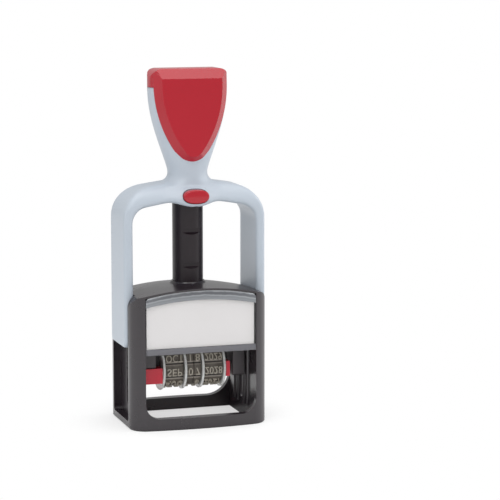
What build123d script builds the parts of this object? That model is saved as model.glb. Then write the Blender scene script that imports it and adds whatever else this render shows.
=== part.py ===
from build123d import *
import math
import os

os.makedirs("parts", exist_ok=True)

# Self-inking date stamp with four date bands. Millimetres, +Z up, the front faces -Y.
# The origin is on the table under the middle of the base. Every piece is drawn at rest:
# the yoke is up, and the printing face is turned up against the ink pad.

# Imprint and stroke
IMPRINT_W = 45.0
IMPRINT_D = 30.0
STROKE = 31.0
DIE_REACH = 10.0
PAD_GAP = 1.4
TRUNNION_Z = STROKE + DIE_REACH
PAD_FACE_Z = TRUNNION_Z + DIE_REACH + PAD_GAP

# Clearances
RUN_FIT = 0.06
SLIDE_GAP = 0.35
SEAT_GAP = 0.15
TURN_GAP = 0.25
ARM_GAP = 0.5
WELL_GAP = 1.5

# Widths, from the imprint outwards: carrier, well, channel floor, arms and base
CARRIER_EDGE = 1.1
WELL_WALL = 2.4
ARM_T = 4.1
ARM_PROUD = 1.1
CARRIER_HALF_W = IMPRINT_W / 2 + CARRIER_EDGE
WINDOW_HALF_W = CARRIER_HALF_W + WELL_GAP
GROOVE_FLOOR_X = WINDOW_HALF_W + WELL_WALL
ARM_IN_X = GROOVE_FLOOR_X + ARM_GAP
ARM_OUT_X = ARM_IN_X + ARM_T
BASE_HALF_W = ARM_OUT_X - ARM_PROUD

# Heights, upwards: ink pad, crown, crossbar, column, bore and cap
PAD_FELT_T = 3.0
PAD_ROOF = 1.1
CROWN_T = 5.7
COLUMN_SEAT_T = 1.4
BAR_RISE = 16.2
COLUMN_PROUD = 0.6
BORE_SPARE = 5.4
BORE_ROOF = 2.1
CAP_H = 8.0
PAD_TOP_Z = PAD_FACE_Z + PAD_FELT_T + PAD_ROOF
CROWN_Z = PAD_TOP_Z + CROWN_T
COLUMN_SEAT_Z = PAD_TOP_Z + COLUMN_SEAT_T
BAR_TOP_Z = CROWN_Z + STROKE + BAR_RISE
COLUMN_TOP_Z = BAR_TOP_Z + COLUMN_PROUD
BORE_TOP_Z = COLUMN_TOP_Z + STROKE + BORE_SPARE
CAP_SEAM_Z = BORE_TOP_Z + BORE_ROOF
HANDLE_TOP_Z = CAP_SEAM_Z + CAP_H

# Base housing
BASE_HALF_D = 21.4
BASE_BOW = 1.7
BASE_CORNER_R = 7.6
CROWN_SAG = 4.2
CROWN_RAISE = 0.5
CROWN_LEVEL_Y = -12.0
CROWN_BACK_R = 210.0
CROWN_STEPS = 4
CROWN_CORNER_R = 6.5
FOOT_EDGE = 0.6
FRONT_RAIL_H = 5.3
FRONT_WINDOW_R = 6.5
REAR_RAIL_H = 5.4
REAR_WINDOW_R = 10.5
REAR_WINDOW_HEAD = 3.8
REAR_WINDOW_TOP = PAD_FACE_Z - REAR_WINDOW_HEAD
WALL_IN_Y = 18.8
CARD_WALL_Z = 36.6
GROOVE_BOTTOM_Z = 3.2
RIB_R = 1.0
RIB_FOOT_Z = 6.0
INNER_RIB_Y = 4.2
OUTER_RIB_Y = 9.2

# Guide column and its spring
COLUMN_R = 6.8
COLUMN_BORE_R = 4.4
COLUMN_FLOOR = 1.6
COLLAR_R = 9.4
COLLAR_H = 1.3
COLLAR_LIP = 0.6
COLLAR_DROP = 0.9
NOTCH_DEPTH = 1.2
NOTCH_RAMP = 0.8
MID_NOTCH_DROP = 15.8
SPRING_R = 3.5
SPRING_WIRE = 0.9
SPRING_TURNS = 6
SPRING_STEPS = 10
POST_R = 2.3
POST_LENGTH = 30.0
POST_FLANGE = 2.0

# Yoke
ARM_HALF_D = 12.6
ARM_END_R = 1.5
ARM_END_DROP = 5.6
ARM_END_Z = TRUNNION_Z - ARM_END_DROP
BAR_SLOPE = 0.17
BAR_THICK = 9.4
BAR_CROWN_DROP = 13.8
BAR_CROWN_Z = BAR_TOP_Z - BAR_CROWN_DROP
BAR_OUT_R = 11.5
BAR_IN_R = 6.5
NECK_R = 8.8
NECK_RISE = 2.1
NECK_Z = BAR_TOP_Z + NECK_RISE
NECK_FOOT_R = 12.2
NECK_FOOT_H = 4.7
NECK_FOOT_STEPS = 2
HANDLE_HALF_W = 17.5
HANDLE_HALF_D = 8.6
HANDLE_CORNER_R = 7.5
HANDLE_BAND_H = 0.5
HANDLE_FULL_Z = CAP_SEAM_Z - HANDLE_BAND_H
HANDLE_LEAN = 3.9
HANDLE_STEPS = 5
FLARE_POWER = 1.15

# Handle cap
CAP_CROWN = 0.4
CAP_CORNER_R = 4.5
CAP_WALL = 2.4
CAP_STUB_H = 4.6
BORE_WALL = 0.8
SHIELD_SIDE = 0.9
SHIELD_LIFT = 1.5
SHIELD_RISE = 3.9
SHIELD_TIP_Z = NECK_Z + SHIELD_RISE
SHIELD_TIP_R = 7.5
SHIELD_BEVEL = 3.5
SHIELD_DEPTH = 3.0
SHIELD_TOP_BEVEL = 4.0
SHIELD_PLATE = 0.8
SHIELD_FACE_Y = 11.3
SHIELD_TOP_Y = 5.9

# Lock button and the boss round it
BUTTON_HALF_W = 5.7
BUTTON_HALF_H = 3.0
BUTTON_END_R = 2.2
BUTTON_DROP = 8.1
BUTTON_Z = BAR_TOP_Z - BUTTON_DROP
BUTTON_FACE_Y = 15.7
BUTTON_THICK = 3.0
BUTTON_TRAVEL = 1.2
BUTTON_BLADE_W = 6.4
BUTTON_BLADE_H = 1.2
BUTTON_DOME = 0.7
BOSS_HALF_W = 15.0
BOSS_FACE_Y = 15.3
BOSS_SIDE_Y = 11.0
BOSS_BACK_Y = 9.6
BOSS_HALF_H = 5.3

# Trunnion pins
PIN_R = 2.0
PIN_REACH = 3.2

# Die carrier
CARRIER_PLATE = 2.5
CARRIER_HALF_D = 15.5
BACKING = 1.0
DIE_PLATE = 2.0
DIE_RELIEF = 0.6
DIE_BORDER = 1.0
EAR_HALF_D = 8.6
LEFT_EAR_GAP = 0.8
LEFT_EAR_DROP = 16.0
RIGHT_EAR_GAP = 0.7
RIGHT_EAR_DROP = 21.3
EAR_R = 2.0

# Date unit
DATE_X = 0.45
MONTH_BAND_W = 8.5
DAY_BAND_W = 3.2
WHEEL_T = 1.0
BAND_SIDE_GAP = 0.2
WHEEL_R = 9.7
WHEEL_DROP = 17.5
WHEEL_TEETH = 36
TOOTH_DEPTH = 0.3
HUB_R = 6.6
HUB_SIDES = 16
AXLE_R = 1.5
BAND_T = 1.0
NOSE_R = 1.2
NOSE_HALF_D = 2.2
HUB_GAP = 0.3
ROW_PITCH = 5.9
ROW_GROOVE_W = 1.0
ROW_PAD_T = 0.3
CHARACTER_H = 0.7
BRIDGE_HALF_T = 1.8
BRIDGE_POST_T = 2.2
BRIDGE_POST_HALF_D = 3.2
FRAME_HALF_D = 8.8
FRAME_LEFT_H = 6.8
FRAME_RIGHT_T = 1.7
FRAME_RIGHT_UP = 1.6
FRAME_BAR_T = 1.6
FRAME_BAR_H = 5.2
CLIP_T = 0.8
CLIP_R = 2.6

# Pad cassette
PAD_SIDE = 0.4
PAD_RIM = 1.0
PAD_GRIP_HALF_W = 8.0
PAD_GRIP_T = 1.2
PAD_GRIP_H = 2.2
FINGER_NOTCH_HALF_W = 10.0
LEDGE_W = 1.3
LEDGE_H = 1.2

# Index window and card
COVER_T = 1.2
COVER_LOW_Z = 33.5
COVER_GAP = 0.2
COVER_TOP_DROP = 0.9
CARD_T = 0.3
CARD_LOW_Z = 36.05
CARD_TOP_DROP = 5.1
CARD_IN = 0.5
CARD_SEAT_Y = 19.9
COVER_LEDGE_H = 1.2
COVER_LEDGE_IN = 0.9


def block(x0, x1, y0, y1, z0, z1):
    """A plain block between two corners."""
    middle = Pos((x0 + x1) / 2, (y0 + y1) / 2, (z0 + z1) / 2)
    return middle * Box(x1 - x0, y1 - y0, z1 - z0)


def along_y(face, y0, y1):
    """A front view (local x is X, local y is Z), carried from y0 to y1."""
    return extrude(Plane.XZ.offset(-y1) * face, amount=y1 - y0)


def along_x(face, x0, x1):
    """A side view (local x is Y, local y is Z), carried from x0 to x1."""
    return extrude(Plane.YZ.offset(x0) * face, amount=x1 - x0)


def along_z(face, z0, z1):
    """A plan, carried from z0 to z1."""
    return extrude(Plane.XY.offset(z0) * face, amount=z1 - z0)


def rod_x(radius, x0, x1, y, z):
    """A round bar along X."""
    return along_x(Pos(y, z) * Circle(radius), x0, x1)


def mirrored(shape):
    """The same shape on the other side of the middle plane X = 0."""
    return mirror(shape, about=Plane.YZ)


def oval_half(half_w, rise, tip_r):
    """Three smooth arcs from (half_w, 0) down round the tip at (0, -rise) to (-half_w, 0)."""
    side_r = (half_w ** 2 + rise ** 2 - 2 * rise * tip_r) / (2 * (half_w - tip_r))
    turn = math.degrees(math.atan2(rise - tip_r, side_r - half_w))
    right = CenterArc((half_w - side_r, 0), side_r, 0, -turn)
    tip = CenterArc((0, tip_r - rise), tip_r, -turn, 2 * turn - 180)
    left = CenterArc((side_r - half_w, 0), side_r, turn - 180, -turn)
    return [right, tip, left]


def save(node, shape):
    """Writes one piece under its own name."""
    shape.label = node
    export_step(shape, "parts/" + node + ".step")


# Base housing

CROWN_R = (BASE_HALF_W ** 2 + CROWN_SAG ** 2) / (2 * CROWN_SAG)
ARM_GROOVE_HALF_D = ARM_HALF_D + SLIDE_GAP
GROOVE_R = ARM_END_R + SLIDE_GAP


def crown_arc(half_w, drop):
    """The crown line, lowered by drop, from right to left."""
    end_z = CROWN_Z - drop - CROWN_R + math.sqrt(CROWN_R ** 2 - half_w ** 2)
    return ThreePointArc((half_w, end_z), (0, CROWN_Z - drop), (-half_w, end_z))


def arched_face(half_w, low_z, drop):
    """A front view with straight sides and a flat foot under the lowered crown line."""
    top = crown_arc(half_w, drop)
    right = Line((half_w, low_z), top @ 0)
    left = Line(top @ 1, (-half_w, low_z))
    foot = Line((-half_w, low_z), (half_w, low_z))
    return make_face([foot, right, top, left])


def crown_barrel():
    """All that lies under the crown: level at the front, bowed down towards the back."""
    axis_z = CROWN_Z - CROWN_R
    far_y = BASE_HALF_D + 2 * BASE_BOW
    turn = math.asin((far_y - CROWN_LEVEL_Y) / CROWN_BACK_R) / CROWN_STEPS
    line = [(-far_y, axis_z), (-far_y, CROWN_Z)]
    for i in range(CROWN_STEPS + 1):
        line.append((CROWN_LEVEL_Y + CROWN_BACK_R * math.sin(turn * i),
                     CROWN_Z - CROWN_BACK_R * (1 - math.cos(turn * i))))
    side = make_face(Polyline(*line, (far_y, axis_z), close=True))
    return revolve(Plane.YZ * side, Axis((0, 0, axis_z), (0, 1, 0)))


def bowed_plan():
    """Plan of the base: bowed front and back, straight sides, round corners."""
    bow_r = (WINDOW_HALF_W ** 2 + BASE_BOW ** 2) / (2 * BASE_BOW)
    mid_y = BASE_HALF_D + BASE_BOW
    edge_y = mid_y - bow_r + math.sqrt(bow_r ** 2 - BASE_HALF_W ** 2)
    front = ThreePointArc((-BASE_HALF_W, -edge_y), (0, -mid_y), (BASE_HALF_W, -edge_y))
    back = ThreePointArc((BASE_HALF_W, edge_y), (0, mid_y), (-BASE_HALF_W, edge_y))
    right = Line((BASE_HALF_W, -edge_y), (BASE_HALF_W, edge_y))
    left = Line((-BASE_HALF_W, edge_y), (-BASE_HALF_W, -edge_y))
    plan = make_face([front, right, back, left])
    return fillet(plan.vertices(), BASE_CORNER_R)


def round_window(half_w, low_z, high_z, low_r, high_r):
    """A window in a front view, with its own radius at the bottom and at the top."""
    face = Pos(0, (low_z + high_z) / 2) * Rectangle(2 * half_w, high_z - low_z)
    face = fillet(face.vertices().sort_by(Axis.Y)[:2], low_r)
    if high_r > 0:
        face = fillet(face.vertices().sort_by(Axis.Y)[-2:], high_r)
    return face


def base_frame():
    """Black moulded housing: domed crown, jambs, rails and the side channels for the arms."""
    outside = 2 * BASE_HALF_D
    outline = arched_face(BASE_HALF_W, 0, -CROWN_RAISE)
    outline = fillet(outline.vertices().sort_by(Axis.Y)[-2:], CROWN_CORNER_R)
    body = along_z(bowed_plan(), 0, CROWN_Z) & along_y(outline, -outside, outside)
    body = chamfer(body.faces().sort_by(Axis.Z)[0].edges(), FOOT_EDGE)
    body = body & crown_barrel()

    # Raised ring round the column's foot
    ring = Cone(COLLAR_R, COLUMN_R + COLLAR_LIP, 2 * COLLAR_H)
    body += Pos(0, 0, CROWN_Z - COLLAR_DROP) * ring

    # The well that the carrier turns in, its ledges, and the bay for the ink pad above it
    ledge_top_z = PAD_FACE_Z - PAD_RIM / 2
    bay_top_z = PAD_TOP_Z + SEAT_GAP
    bay_half_w = PAD_HALF_W + SEAT_GAP
    body -= block(-WINDOW_HALF_W, WINDOW_HALF_W, -WALL_IN_Y, WALL_IN_Y, -1, ledge_top_z - LEDGE_H)
    well_half_w = bay_half_w - LEDGE_W
    body -= block(-well_half_w, well_half_w, -WALL_IN_Y, WALL_IN_Y, 0, ledge_top_z)
    body -= block(-bay_half_w, bay_half_w, -WALL_IN_Y, outside, ledge_top_z, bay_top_z)

    # Front window below the card, recess for the clear cover, and rear window
    front = round_window(WINDOW_HALF_W, FRONT_RAIL_H, CARD_WALL_Z, FRONT_WINDOW_R, 0)
    body -= along_y(front, -outside, -WALL_IN_Y + 1)
    cover_recess = arched_face(WINDOW_HALF_W, COVER_LOW_Z, COVER_TOP_DROP)
    body -= along_y(cover_recess, -outside, -CARD_SEAT_Y)
    rear = round_window(WINDOW_HALF_W, REAR_RAIL_H, REAR_WINDOW_TOP, REAR_WINDOW_R, FRONT_WINDOW_R)
    body -= along_y(rear, WALL_IN_Y - 1, outside)
    body -= block(-FINGER_NOTCH_HALF_W, FINGER_NOTCH_HALF_W, WALL_IN_Y - 1, outside,
                  REAR_WINDOW_TOP - 1, bay_top_z)

    # Side channels for the arms, slots for the trunnion pins, and guide ribs beside them
    channel_h = CROWN_Z - GROOVE_BOTTOM_Z + 1
    channel = Pos(0, GROOVE_BOTTOM_Z + channel_h / 2) * Rectangle(2 * ARM_GROOVE_HALF_D, channel_h)
    channel = fillet(channel.vertices().sort_by(Axis.Y)[:2], GROOVE_R)
    side = along_x(channel, GROOVE_FLOOR_X, 2 * BASE_HALF_W)
    pin_gap_r = PIN_R + SLIDE_GAP
    slot_mid_z = TRUNNION_Z - STROKE / 2
    slot = Rot(0, 0, 90) * SlotOverall(STROKE + 2 * pin_gap_r, 2 * pin_gap_r)
    slot = along_x(Pos(0, slot_mid_z) * slot, WINDOW_HALF_W - 1, GROOVE_FLOOR_X + 1)
    rib_top_z = ledge_top_z - LEDGE_H
    for y in (-OUTER_RIB_Y, -INNER_RIB_Y, INNER_RIB_Y, OUTER_RIB_Y):
        rib = Pos(WINDOW_HALF_W, y) * Circle(RIB_R)
        rib = along_z(rib, RIB_FOOT_Z, rib_top_z)
        body += rib + mirrored(rib)
    body -= side + mirrored(side)
    body -= slot + mirrored(slot)

    # Socket for the column
    socket = Circle(COLUMN_R + RUN_FIT)
    return body - along_z(socket, COLUMN_SEAT_Z, CROWN_Z + 2 * COLLAR_H)


# Guide column, return spring and the post in the handle that it pushes on

COLUMN_FLOOR_Z = COLUMN_SEAT_Z + COLUMN_FLOOR
POST_SEAT_Z = BORE_TOP_Z - POST_FLANGE


def guide_column():
    """Black tube with three notches in its front: a ledge for the button's blade over a ramp."""
    tube = along_z(Circle(COLUMN_R), COLUMN_SEAT_Z, COLUMN_TOP_Z)
    tube -= along_z(Circle(COLUMN_BORE_R), COLUMN_FLOOR_Z, COLUMN_TOP_Z + 1)
    floor_y = -(COLUMN_R - NOTCH_DEPTH)
    for drop in (0, MID_NOTCH_DROP, STROKE):
        ledge_z = BUTTON_Z - drop + BUTTON_BLADE_H / 2 + TURN_GAP
        ramp_z = ledge_z - BUTTON_BLADE_H - 2 * TURN_GAP
        notch = make_face(Polyline((floor_y, ramp_z), (floor_y, ledge_z), (-2 * COLUMN_R, ledge_z),
                                   (-2 * COLUMN_R, ramp_z - NOTCH_RAMP * (2 * COLUMN_R + floor_y)),
                                   close=True))
        tube -= along_x(notch, -COLUMN_R, COLUMN_R)
    return tube


def return_spring():
    """Square-wire compression spring at its installed length, in short straight steps."""
    low_z = COLUMN_FLOOR_Z + SPRING_WIRE / 2
    height = POST_SEAT_Z - SPRING_WIRE / 2 - low_z
    points = []
    for step in range(SPRING_TURNS * SPRING_STEPS + 1):
        turn = 2 * math.pi * step / SPRING_STEPS
        z = low_z + height * step / (SPRING_TURNS * SPRING_STEPS)
        points.append((SPRING_R * math.cos(turn), SPRING_R * math.sin(turn), z))
    path = Polyline(*points)
    wire = Plane(origin=path @ 0, x_dir=(1, 0, 0), z_dir=path % 0) * Rectangle(SPRING_WIRE, SPRING_WIRE)
    return sweep(wire, path=path, transition=Transition.RIGHT)


def spring_post():
    """Flanged post at the top of the handle's bore, inside the spring."""
    flange = along_z(Circle(COLUMN_R - SEAT_GAP), POST_SEAT_Z, BORE_TOP_Z)
    post = along_z(Circle(POST_R), POST_SEAT_Z - POST_LENGTH, POST_SEAT_Z)
    return flange + post


# Yoke: two arms, crossbar, neck and the core of the handle

def handle_half_w(z):
    """Half width of the handle: it flares from the round neck by a sine law."""
    share = (z - NECK_Z) / (HANDLE_FULL_Z - NECK_Z)
    return NECK_R + (HANDLE_HALF_W - NECK_R) * math.sin(math.pi / 2 * share) ** FLARE_POWER


SHIELD_HALF_W = HANDLE_HALF_W - SHIELD_SIDE
SHIELD_SIDE_Z = CAP_SEAM_Z + SHIELD_LIFT
SHIELD_TOP_Z = HANDLE_TOP_Z - CAP_CROWN
SHIELD_EDGE_Y = SHIELD_FACE_Y - SHIELD_DEPTH
SHIELD_BACK_Y = SHIELD_EDGE_Y - SHIELD_PLATE


def leaned(shape):
    """A shape at the handle's front, leaned back with the shield about the shield's tip."""
    tip = Pos(0, -SHIELD_FACE_Y, SHIELD_TIP_Z)
    return tip * Rot(-HANDLE_LEAN, 0, 0) * tip.inverse() * shape


def shield_outline():
    """Front view of the shield: straight shoulders over half an oval."""
    tip = [Pos(0, SHIELD_SIDE_Z) * arc
           for arc in oval_half(SHIELD_HALF_W, SHIELD_SIDE_Z - SHIELD_TIP_Z, SHIELD_TIP_R)]
    right = Line((SHIELD_HALF_W, SHIELD_SIDE_Z), (SHIELD_HALF_W, SHIELD_TOP_Z))
    top = Line((SHIELD_HALF_W, SHIELD_TOP_Z), (-SHIELD_HALF_W, SHIELD_TOP_Z))
    left = Line((-SHIELD_HALF_W, SHIELD_TOP_Z), (-SHIELD_HALF_W, SHIELD_SIDE_Z))
    return make_face(tip + [right, top, left])


def arch():
    """Arms and crossbar: the front view, rounded by the side view."""
    edge_z = BAR_TOP_Z - BAR_SLOPE * ARM_OUT_X
    under_z = BAR_TOP_Z - BAR_THICK - BAR_SLOPE * ARM_IN_X
    front = make_face(Polyline(
        (ARM_OUT_X, ARM_END_Z), (ARM_OUT_X, edge_z), (0, BAR_TOP_Z), (-ARM_OUT_X, edge_z),
        (-ARM_OUT_X, ARM_END_Z), (-ARM_IN_X, ARM_END_Z), (-ARM_IN_X, under_z),
        (0, BAR_TOP_Z - BAR_THICK), (ARM_IN_X, under_z), (ARM_IN_X, ARM_END_Z), close=True))
    outer = [v for v in front.vertices() if abs(v.Y - edge_z) < 0.01]
    front = fillet(outer, BAR_OUT_R)
    inner = [v for v in front.vertices() if abs(v.Y - under_z) < 0.01]
    front = fillet(inner, BAR_IN_R)
    straight_h = BAR_CROWN_Z - ARM_END_Z
    side = Pos(0, ARM_END_Z + straight_h / 2) * Rectangle(2 * ARM_HALF_D, straight_h)
    side = fillet(side.vertices().sort_by(Axis.Y)[:2], ARM_END_R)
    side += Pos(0, BAR_CROWN_Z) * Circle(ARM_HALF_D)
    return along_y(front, -ARM_HALF_D, ARM_HALF_D) & along_x(side, -2 * ARM_OUT_X, 2 * ARM_OUT_X)


def handle_blank(low_z, high_z):
    """Upright block with the handle's full rounded plan."""
    plan = RectangleRounded(2 * HANDLE_HALF_W, 2 * HANDLE_HALF_D, HANDLE_CORNER_R)
    return along_z(plan, low_z, high_z)


def handle_core():
    """Neck and flared handle up to the cap's seam, with a stub that the cap sits on."""
    step = (HANDLE_FULL_Z - NECK_Z) / HANDLE_STEPS
    flare = [(0, CAP_SEAM_Z), (0, NECK_Z)]
    for i in range(HANDLE_STEPS + 1):
        flare.append((handle_half_w(NECK_Z + step * i), NECK_Z + step * i))
    flare.append((HANDLE_HALF_W, CAP_SEAM_Z))
    core = revolve(Plane.XZ * make_face(Polyline(*flare, close=True)), Axis.Z)
    core = core & handle_blank(NECK_Z, CAP_SEAM_Z)
    side = make_face(Polyline((-NECK_R, NECK_Z), (NECK_R, NECK_Z), (HANDLE_HALF_D, HANDLE_FULL_Z),
                              (HANDLE_HALF_D, CAP_SEAM_Z), (-HANDLE_HALF_D, CAP_SEAM_Z),
                              (-HANDLE_HALF_D, HANDLE_FULL_Z), close=True))
    core = core & along_x(side, -HANDLE_HALF_W, HANDLE_HALF_W)
    recess = leaned(along_y(shield_outline(), -2 * SHIELD_FACE_Y, -SHIELD_BACK_Y)) - bore_tube()
    core -= recess + Rot(0, 0, 180) * recess
    return core + cap_stub(0) + neck_foot()


def neck_foot():
    """Round foot of the neck, hollowed down to the crossbar in short cones."""
    out = NECK_FOOT_R - NECK_R
    low_z = BAR_TOP_Z - BAR_THICK
    side = [(0, NECK_Z), (0, low_z), (NECK_FOOT_R, low_z)]
    for step in range(NECK_FOOT_STEPS + 1):
        turn = math.pi / 2 * step / NECK_FOOT_STEPS
        side.append((NECK_FOOT_R - out * math.sin(turn), NECK_Z - NECK_FOOT_H * math.cos(turn)))
    return revolve(Plane.XZ * make_face(Polyline(*side, close=True)), Axis.Z)


def bore_tube():
    """The wall that the core keeps round its bore, behind the shields."""
    return along_z(Circle(COLUMN_R + RUN_FIT + BORE_WALL), NECK_Z, BORE_TOP_Z + BORE_WALL)


def cap_stub(gap):
    """The core's stub inside the cap, or the cap's hollow for it when gap is added."""
    half_w = HANDLE_HALF_W - CAP_WALL + gap
    half_d = SHIELD_TOP_Y - CAP_WALL / 2 + gap
    stub = RectangleRounded(2 * half_w, 2 * half_d, SHIELD_TOP_Y - CAP_WALL)
    return along_z(stub, CAP_SEAM_Z, CAP_SEAM_Z + CAP_STUB_H + gap)


BOSS_LOW_Z = BUTTON_Z - BOSS_HALF_H


def boss():
    """Swelling of the crossbar round the button: a lens in front view, bowed in plan."""
    lens = make_face([
        ThreePointArc((-BOSS_HALF_W, BUTTON_Z), (0, BUTTON_Z - BOSS_HALF_H), (BOSS_HALF_W, BUTTON_Z)),
        ThreePointArc((BOSS_HALF_W, BUTTON_Z), (0, BUTTON_Z + BOSS_HALF_H), (-BOSS_HALF_W, BUTTON_Z))])
    plan = make_face([
        ThreePointArc((-BOSS_HALF_W, -BOSS_SIDE_Y), (0, -BOSS_FACE_Y), (BOSS_HALF_W, -BOSS_SIDE_Y)),
        Polyline((BOSS_HALF_W, -BOSS_SIDE_Y), (BOSS_HALF_W, BOSS_BACK_Y), (-BOSS_HALF_W, BOSS_BACK_Y),
                 (-BOSS_HALF_W, -BOSS_SIDE_Y))])
    return along_y(lens, -BOSS_FACE_Y, BOSS_BACK_Y) & along_z(plan, BOSS_LOW_Z, BAR_TOP_Z)


def button_outline(gap):
    """Front view of the oval button, or of its pocket when gap is added."""
    half = oval_half(BUTTON_HALF_H + gap, BUTTON_HALF_W + gap, BUTTON_END_R + gap)
    oval = make_face(half + [Rot(0, 0, 180) * arc for arc in half])
    return Pos(0, BUTTON_Z) * Rot(0, 0, 90) * oval


def yoke():
    """Pale grey moulding that slides on the column."""
    body = arch() + boss() + handle_core()
    body -= along_z(Circle(COLUMN_R + RUN_FIT), BOSS_LOW_Z - 1, BORE_TOP_Z)

    # Pocket and slot of the lock button
    pocket_y = BUTTON_FACE_Y - BUTTON_THICK - BUTTON_TRAVEL - SLIDE_GAP
    body -= along_y(button_outline(TURN_GAP), -2 * BOSS_FACE_Y, -pocket_y)
    slot_half_w = BUTTON_BLADE_W / 2 + TURN_GAP
    slot_half_h = BUTTON_BLADE_H / 2 + TURN_GAP
    body -= block(-slot_half_w, slot_half_w, -pocket_y - 1, -COLUMN_BORE_R,
                  BUTTON_Z - slot_half_h, BUTTON_Z + slot_half_h)

    # Blind holes for the trunnion pins
    hole = rod_x(PIN_R, ARM_IN_X - 1, PIN_OUT_X, 0, TRUNNION_Z)
    return body - hole - mirrored(hole)


def handle_cap():
    """Red cap: a saddle over the top and a bevelled shield on the front and the back."""
    front = Pos(0, HANDLE_TOP_Z / 2) * Rectangle(2 * HANDLE_HALF_W, HANDLE_TOP_Z)
    front = fillet(front.vertices().sort_by(Axis.Y)[-2:], CAP_CORNER_R)
    cap = handle_blank(CAP_SEAM_Z, HANDLE_TOP_Z) & along_y(front, -HANDLE_HALF_D, HANDLE_HALF_D)

    # Shield plates, bevelled all round
    plate = along_y(shield_outline(), -SHIELD_FACE_Y, -SHIELD_BACK_Y)
    face = plate.faces().sort_by(Axis.Y)[0]
    plate = leaned(chamfer(face.edges(), SHIELD_DEPTH, SHIELD_BEVEL, reference=face)) - bore_tube()
    cap += plate + Rot(0, 0, 180) * plate

    # The wider bevel along the top of both
    low_z = SHIELD_TIP_Z - 1
    far_y = SHIELD_TOP_Y + 2 * SHIELD_DEPTH
    far_z = SHIELD_TOP_Z - 2 * SHIELD_TOP_BEVEL
    side = make_face(Polyline(
        (far_y, low_z), (far_y, far_z), (SHIELD_TOP_Y, SHIELD_TOP_Z),
        (SHIELD_TOP_Y - CAP_CROWN, HANDLE_TOP_Z), (CAP_CROWN - SHIELD_TOP_Y, HANDLE_TOP_Z),
        (-SHIELD_TOP_Y, SHIELD_TOP_Z), (-far_y, far_z), (-far_y, low_z), close=True))
    return (cap & along_x(side, -2 * HANDLE_HALF_W, 2 * HANDLE_HALF_W)) - cap_stub(SEAT_GAP)


# Lock button

def lock_button():
    """Red oval button with a blade that drops into a notch of the column."""
    back_y = -(BUTTON_FACE_Y - BUTTON_THICK)
    head = along_y(button_outline(0), -BUTTON_FACE_Y, back_y)
    head = chamfer(head.faces().sort_by(Axis.Y)[0].edges(), BUTTON_DOME)
    tip_y = -(COLUMN_R + RUN_FIT + SEAT_GAP)
    blade = block(-BUTTON_BLADE_W / 2, BUTTON_BLADE_W / 2, back_y, tip_y,
                  BUTTON_Z - BUTTON_BLADE_H / 2, BUTTON_Z + BUTTON_BLADE_H / 2)
    return head + blade


# Trunnion pins, pressed into the arms and running in the carrier's ears

PIN_OUT_X = (ARM_IN_X + ARM_OUT_X) / 2
PIN_IN_X = CARRIER_HALF_W - PIN_REACH


def trunnion_pin(side):
    """One steel pin; side is 1 on the right and -1 on the left."""
    pin = rod_x(PIN_R, PIN_IN_X, PIN_OUT_X, 0, TRUNNION_Z)
    return pin if side > 0 else mirrored(pin)


# Date stack: wheels and bands side by side on one axle

WHEEL_Z = TRUNNION_Z - WHEEL_DROP
DIE_FACE_Z = TRUNNION_Z + DIE_REACH
NOSE_Z = DIE_FACE_Z - NOSE_R - BAND_T - ROW_PAD_T - CHARACTER_H
PLATE_TOP_Z = DIE_FACE_Z - DIE_PLATE - BACKING
PLATE_LOW_Z = PLATE_TOP_Z - CARRIER_PLATE
STACK_ORDER = (("month_wheel", WHEEL_T), ("month_band", MONTH_BAND_W), ("tens_wheel", WHEEL_T),
               ("tens_band", DAY_BAND_W), ("units_band", DAY_BAND_W), ("units_wheel", WHEEL_T),
               ("year_band", MONTH_BAND_W), ("year_wheel", WHEEL_T))


def stack_spans():
    """Left and right edge of each wheel and band, by name."""
    total = sum(width for name, width in STACK_ORDER) + BAND_SIDE_GAP * (len(STACK_ORDER) - 1)
    x = DATE_X - total / 2
    spans = {}
    for name, width in STACK_ORDER:
        spans[name] = (x, x + width)
        x += width + BAND_SIDE_GAP
    return spans


SPANS = stack_spans()
STACK_LEFT_X = SPANS["month_wheel"][0]
STACK_RIGHT_X = SPANS["year_wheel"][1]


def loop_face(outset):
    """Side view of a band's path round the hub and over the flat nose, outset from it."""
    hub = Pos(0, WHEEL_Z) * Circle(HUB_R + HUB_GAP + outset)
    front = Pos(-NOSE_HALF_D, NOSE_Z) * Circle(NOSE_R + outset)
    rear = Pos(NOSE_HALF_D, NOSE_Z) * Circle(NOSE_R + outset)
    return make_hull(hub.edges() + front.edges() + rear.edges())


def date_band(name):
    """Rubber band whose outside is parted by cross grooves into one pad for each row."""
    x0, x1 = SPANS[name]
    side = loop_face(BAND_T + ROW_PAD_T)
    path = side.face().outer_wire()
    top = path.param_at_point((0, NOSE_Z + NOSE_R + BAND_T + ROW_PAD_T))
    rows = int(path.length / ROW_PITCH)
    groove = Rectangle(ROW_GROOVE_W, 2 * ROW_PAD_T)
    for row in range(rows):
        share = (top + (row + 0.5) / rows) % 1.0
        spot = path @ share
        along = path % share
        turn = math.degrees(math.atan2(along.Y, along.X))
        side -= Pos(spot.X, spot.Y) * Rot(0, 0, turn) * groove
    return along_x(side - loop_face(0), x0, x1)


def thumb_wheel(name, band):
    """Clear toothed disc with the many-sided hub that drives its band."""
    x0, x1 = SPANS[name]
    b0, b1 = SPANS[band]
    rim = []
    for i in range(2 * WHEEL_TEETH):
        angle = math.pi * i / WHEEL_TEETH
        radius = WHEEL_R - TOOTH_DEPTH * (i % 2)
        rim.append((radius * math.cos(angle), WHEEL_Z + radius * math.sin(angle)))
    disc = along_x(make_face(Polyline(*rim, close=True)), x0, x1)
    disc += along_x(Pos(0, WHEEL_Z) * RegularPolygon(HUB_R, HUB_SIDES), min(x0, b0), max(x1, b1))
    return disc - rod_x(AXLE_R + RUN_FIT, STACK_LEFT_X - 1, STACK_RIGHT_X + 1, 0, WHEEL_Z)


# Frame, axle and bridge of the date unit

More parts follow.
